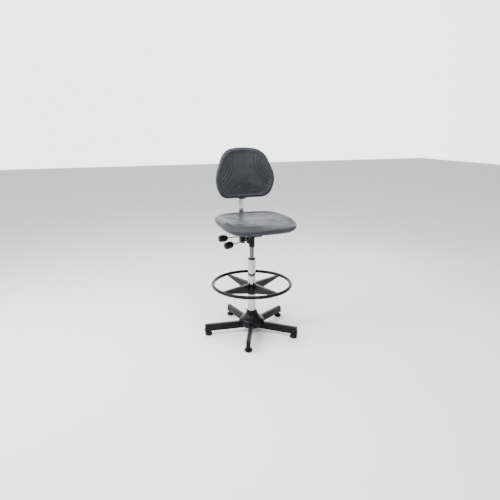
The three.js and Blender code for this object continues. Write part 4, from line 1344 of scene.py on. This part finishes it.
def makeBoards():
    low, high = spot("seat_board")
    board = slab("seatBoard", cornered(low.x, low.y, high.x, high.y, 30), (0, 0, low.z), (1, 0, 0),
                 (0, 1, 0), high.z - low.z - 0.1,
                 stainedPly, 1.2)
    tools = []
    for k in range(1, 5):
        boltLow, boltHigh = spot(f"seat_bolt_{k}")
        at = (boltLow + boltHigh) / 2
        tools.append(pin("holeTool", (at.x, at.y, low.z - 2), (at.x, at.y, boltHigh.z + 0.5), 4.4,
                         stainedPly, 0.1))
    carve(board, tools)
    standFor(board, "seat_board", "seat_frame")
    outline = cornered(-78, 52, 78, 222, 12)
    rings = [[onBack(x, h, w) for x, h in outline] for w in (-22, -13)]
    board = loft("backBoard", rings, stainedPly)
    tools = [pin("holeTool", onBack(0, h, -30), onBack(0, h, -16), 3.4, stainedPly, 0.1) for h in screwUps]
    carve(board, tools)
    standFor(board, "back_board", "backrest")


makeBoards()
print("back bar and housing made")

# a smooth curve through a few points of a section, sampled evenly along its length
def smoothSection(points, count):
    path = np.array(points, dtype=float)
    ahead = np.vstack([2 * path[0] - path[1], path, 2 * path[-1] - path[-2]])
    out = []
    for i in range(len(path) - 1):
        a, b, c, d = ahead[i:i + 4]
        for t in np.linspace(0, 1, 24, endpoint=False):
            out.append(0.5 * (2 * b + (c - a) * t + (2 * a - 5 * b + 4 * c - d) * t ** 2
                              + (3 * b - a - 3 * c + d) * t ** 3))
    out = np.array(out + [path[-1]])
    length = np.concatenate([[0], np.cumsum(np.linalg.norm(np.diff(out, axis=0), axis=1))])
    even = np.linspace(0, length[-1], count)
    return np.stack([np.interp(even, length, out[:, 0]), np.interp(even, length, out[:, 1])], axis=1)


def evenOutline(points, count):
    path = np.array([tuple(p) for p in points] + [tuple(points[0])], dtype=float)
    length = np.concatenate([[0], np.cumsum(np.linalg.norm(np.diff(path, axis=0), axis=1))])
    even = np.linspace(0, length[-1], count, endpoint=False)
    return np.stack([np.interp(even, length, path[:, 0]), np.interp(even, length, path[:, 1])], axis=1)


def smoothStep(low, high, value):
    t = np.clip((value - low) / (high - low), 0, 1)
    return t * t * (3 - 2 * t)


# a soft channel along the part of a circle that lies between two heights
def arcGroove(x, y, centre, r, yFrom, yTo, width, depth):
    off = np.abs(np.hypot(x - centre[0], y - centre[1]) - r)
    inner = smoothStep(yFrom - 6, yFrom + 8, y) * (1 - smoothStep(yTo - 8, yTo + 6, y))
    inner = inner * (np.sign(x) != np.sign(centre[0]) * -1) * (np.abs(x) < abs(centre[0]))
    return -depth * np.exp(-((off / (width / 2)) ** 2)) * inner


# a soft channel along a bowed line between two points
def rayGroove(x, y, start, middle, end, width, depth):
    best = np.full(x.shape, 1e9)
    where = np.zeros(x.shape)
    steps = 14
    spots = []
    for k in range(steps + 1):
        t = k / steps
        near, bow, far = (1 - t) ** 2, 2 * t * (1 - t), t * t
        spots.append([near * start[i] + bow * middle[i] + far * end[i] for i in (0, 1)])
    for k in range(steps):
        ax, ay = spots[k]
        bx, by = spots[k + 1]
        span = (bx - ax) ** 2 + (by - ay) ** 2
        t = np.clip(((x - ax) * (bx - ax) + (y - ay) * (by - ay)) / span, 0, 1)
        off = np.hypot(x - ax - t * (bx - ax), y - ay - t * (by - ay))
        closer = off < best
        best = np.where(closer, off, best)
        where = np.where(closer, (k + t) / steps, where)
    fade = smoothStep(0, 0.1, where) * (1 - smoothStep(0.9, 1, where)) * 0.75 + 0.25
    return -depth * np.exp(-((best / (width / 2)) ** 2)) * fade


# rings from the middle of the underside out over the rim and in to the middle of the top
def padMesh(name, section, outline, shape, material):
    count = len(outline)
    share = section[:, 0][:, None]
    x = share * outline[:, 0][None, :]
    y = share * outline[:, 1][None, :]
    depth = np.repeat(section[:, 1][:, None], count, axis=1)
    topFrom = int(np.argmax(section[:, 0]))
    onTop = np.zeros(len(section))
    onTop[topFrom:] = 1
    placed = shape(x, y, depth, onTop[:, None] * np.ones((1, count)))
    points = []
    middleLow = tuple(float(v[0].mean()) for v in placed)
    middleHigh = tuple(float(v[-1].mean()) for v in placed)
    rows = len(section)
    for i in range(1, rows - 1):
        points += list(zip(placed[0][i].tolist(), placed[1][i].tolist(), placed[2][i].tolist()))
    faces = []
    for i in range(rows - 3):
        a, b = i * count, (i + 1) * count
        faces += [(a + k, a + (k + 1) % count, b + (k + 1) % count, b + k) for k in range(count)]
    points += [middleLow, middleHigh]
    low, high = len(points) - 2, len(points) - 1
    last = (rows - 3) * count
    faces += [(low, (k + 1) % count, k) for k in range(count)]
    faces += [(high, last + k, last + (k + 1) % count) for k in range(count)]
    return makePiece(name, points, faces, material, 60)


# the half section of a pad, from the middle of its underside out and back to the middle of its top;
# the distances out come as shares of the half width
def padSection(half, lower, upper):
    lower = smoothSection([(share * half, z) for share, z in lower], 46)
    upper = smoothSection([(share * half, z) for share, z in upper], 170)
    section = np.vstack([lower[:-1], upper])
    section[:, 0] /= half
    section[0, 0] = section[-1, 0] = 0
    return section


seatLook = {
    "half": 226.0, "depth": 226.0, "power": 3.7, "y": -46.0, "taper": 0.02, "drop": 13.0, "rimUp": 46.7,
    "grooveWidth": 8.5, "grooveDepth": 1.9, "creaseDepth": 2.4,
}


def seatShape(x, y, z, onTop):
    look = seatLook
    under = spot("seat_cushion")[0].z
    rim = under + seatLook["rimUp"]
    # towards the front the raised rim gives way to a long roll over the edge
    share = (np.abs(x / look["half"]) ** look["power"]
             + np.abs(y / look["depth"]) ** look["power"]) ** (1 / look["power"])
    roll = rim + 14 * (1 - np.clip(share, 0, 1) ** 5) ** 0.5
    front = smoothStep(60, 185, -y) * onTop * smoothStep(0.3, 0.6, share)
    z = z * (1 - front) + roll * front
    flatX = x * (1 - look["taper"] * y / look["depth"])
    flatY = y + look["y"]
    fall = -look["drop"] * np.clip(-y / look["depth"], 0, None) ** 2
    lift = np.clip((z - under) / 20, 0, 1)
    relief = np.zeros(x.shape)
    width, depth = look["grooveWidth"], look["grooveDepth"]
    for side in (-1, 1):
        for r in (177, 159, 141):
            relief += arcGroove(flatX, flatY, (side * 243, -60), r, -126, 74, width, depth)
        for k, (startX, endX, endY) in enumerate(((10, 26, 117), (19, 50, 112), (28, 76, 103))):
            relief += rayGroove(flatX, flatY, (side * startX, 62 + k), (side * (startX + 3), 88),
                                (side * endX, endY), width, depth * 0.8)
    relief += rayGroove(flatX, flatY, (0, 62), (0, 90), (0, 118), width, depth * 0.8)
    relief += rayGroove(flatX, flatY, (-146, -148), (0, -166), (146, -148), 11, look["creaseDepth"])
    for side in (-1, 1):
        dimple = np.hypot(flatX - side * 142, flatY + 146)
        relief += -1.8 * np.exp(-((dimple / 8) ** 2))
    return flatX, flatY, z + fall * lift + relief * onTop


def makeSeat():
    look = seatLook
    under = spot("seat_cushion")[0].z
    rim = under + seatLook["rimUp"]
    corner = []
    for k in range(720):
        a = 2 * math.pi * k / 720
        c, s = math.cos(a), math.sin(a)
        corner.append((
            look["half"] * math.copysign(abs(c) ** (2 / look["power"]), c),
            look["depth"] * math.copysign(abs(s) ** (2 / look["power"]), s),
        ))
    outline = evenOutline(corner, 640)
    section = padSection(look["half"], [
        (0, under), (0.5, under), (0.66, under), (0.82, under + 5), (0.93, rim - 30), (0.985, rim - 15),
        (1, rim),
    ], [
        (1, rim), (0.988, rim + 13), (0.95, rim + 21.5), (0.9, rim + 24.3), (0.855, rim + 22.6),
        (0.8, rim + 18),
        (0.7, rim + 14.5), (0.45, rim + 9), (0.2, rim + 7.2), (0, rim + 7),
    ])
    seat = padMesh("seatCushion", section, outline, seatShape, foamSkin)
    low, high = spot("seat_board")
    pocket = slab("pocketTool", cornered(low.x - 0.4, low.y - 0.4, high.x + 0.4, high.y + 0.4, 30),
                  (0, 0, low.z - 5), (1, 0, 0), (0, 1, 0),
                  high.z - low.z + 5.3, foamSkin, 0)
    carve(seat, [pocket], 50)
    standFor(seat, "seat_cushion", "seat_frame")


makeSeat()
print("seat made")

restLook = {"half": 209.0, "height": 320.0, "curve": 560.0, "curlFrom": 150.0, "curlR": 900.0,
            "grooveWidth": 8.0, "grooveDepth": 4.6}


def restShape(x, y, depth, onTop):
    look = restLook
    height = y + look["height"] - 182
    curl = -np.clip(height - look["curlFrom"], 0, None) ** 2 / (2 * look["curlR"])
    relief = np.zeros(x.shape)
    width, deep = look["grooveWidth"], look["grooveDepth"]
    for side in (-1, 1):
        for r, top, bottom in ((177, 284, 72), (159, 276, 89), (141, 264, 108)):
            relief += arcGroove(x, height, (side * 248, 228), r, bottom, top, width, deep)
        rays = ((16, 90, 20, 68, 40, 46), (23, 92, 32, 70, 60, 50), (30, 95, 45, 74, 82, 56))
        for startX, startY, middleX, middleY, endX, endY in rays:
            relief += rayGroove(x, height, (side * startX, startY), (side * middleX, middleY),
                                (side * endX, endY), width, deep * 0.85)
    relief += rayGroove(x, height, (0, 90), (0, 60), (0, 30), width, deep * 0.85)
    forward = depth + curl + relief * onTop + x * x / (2 * look["curve"])
    px = x
    py = backFoot.y + height * backUp.y + forward * backOut.y
    pz = backFoot.z + height * backUp.z + forward * backOut.z
    return px, py, pz


def makeRest():
    look = restLook
    half, tall = look["half"], look["height"]
    shoulder = (half - 73, tall - 16)
    hip = (half, 118)
    footX = half - 48
    corners = [
        (-footX, 0, 56), (footX, 0, 56), (*hip, 66), (*shoulder, 76), (0, tall, 50),
        (-shoulder[0], shoulder[1], 76), (-hip[0], hip[1], 66),
    ]
    outline = evenOutline(rounded(corners, closed=True, steps=24), 600)
    outline[:, 1] -= tall - 182
    section = padSection(190, [
        (0, -20), (0.4, -20), (0.7, -20), (0.86, -17), (0.95, -11), (0.99, -5), (1, 0),
    ], [
        (1, 0), (0.988, 8), (0.955, 14.6), (0.915, 17.6), (0.875, 17), (0.84, 14.4), (0.79, 13.4),
        (0.65, 14.6),
        (0.4, 16.6), (0.15, 17.4), (0, 17.5),
    ])
    rest = padMesh("backCushion", section, outline, restShape, foamSkin)
    boardHalf, boardFrom, boardTo = 78.4, 51.6, 222.4
    rings = [[onBack(x, h, w) for x, h in cornered(-boardHalf, boardFrom, boardHalf, boardTo,
                                                   12)] for w in (-34, -12.7)]
    pocket = loft("pocketTool", rings, foamSkin)
    carve(rest, [pocket], 50)
    standFor(rest, "back_cushion", "backrest")


makeRest()
print("backrest made")

# small parts inside the column keep their shape from the frame and only take a material
hiddenParts = {
    "rod_clip": zincSteel, "bearing_lower_washer": zincSteel, "bearing_ball_cage": zincSteel,
    "bearing_upper_washer": zincSteel,
    "column_damper": blackRubber, "piston_rod": zincSteel, "piston": zincSteel, "valve_pin": zincSteel,
}
for name, material in hiddenParts.items():
    node = frame["nodes"][name]
    for place in node.material_slots:
        place.link = "OBJECT"
        place.material = material
    if not node.material_slots:
        node.data.materials.append(material)
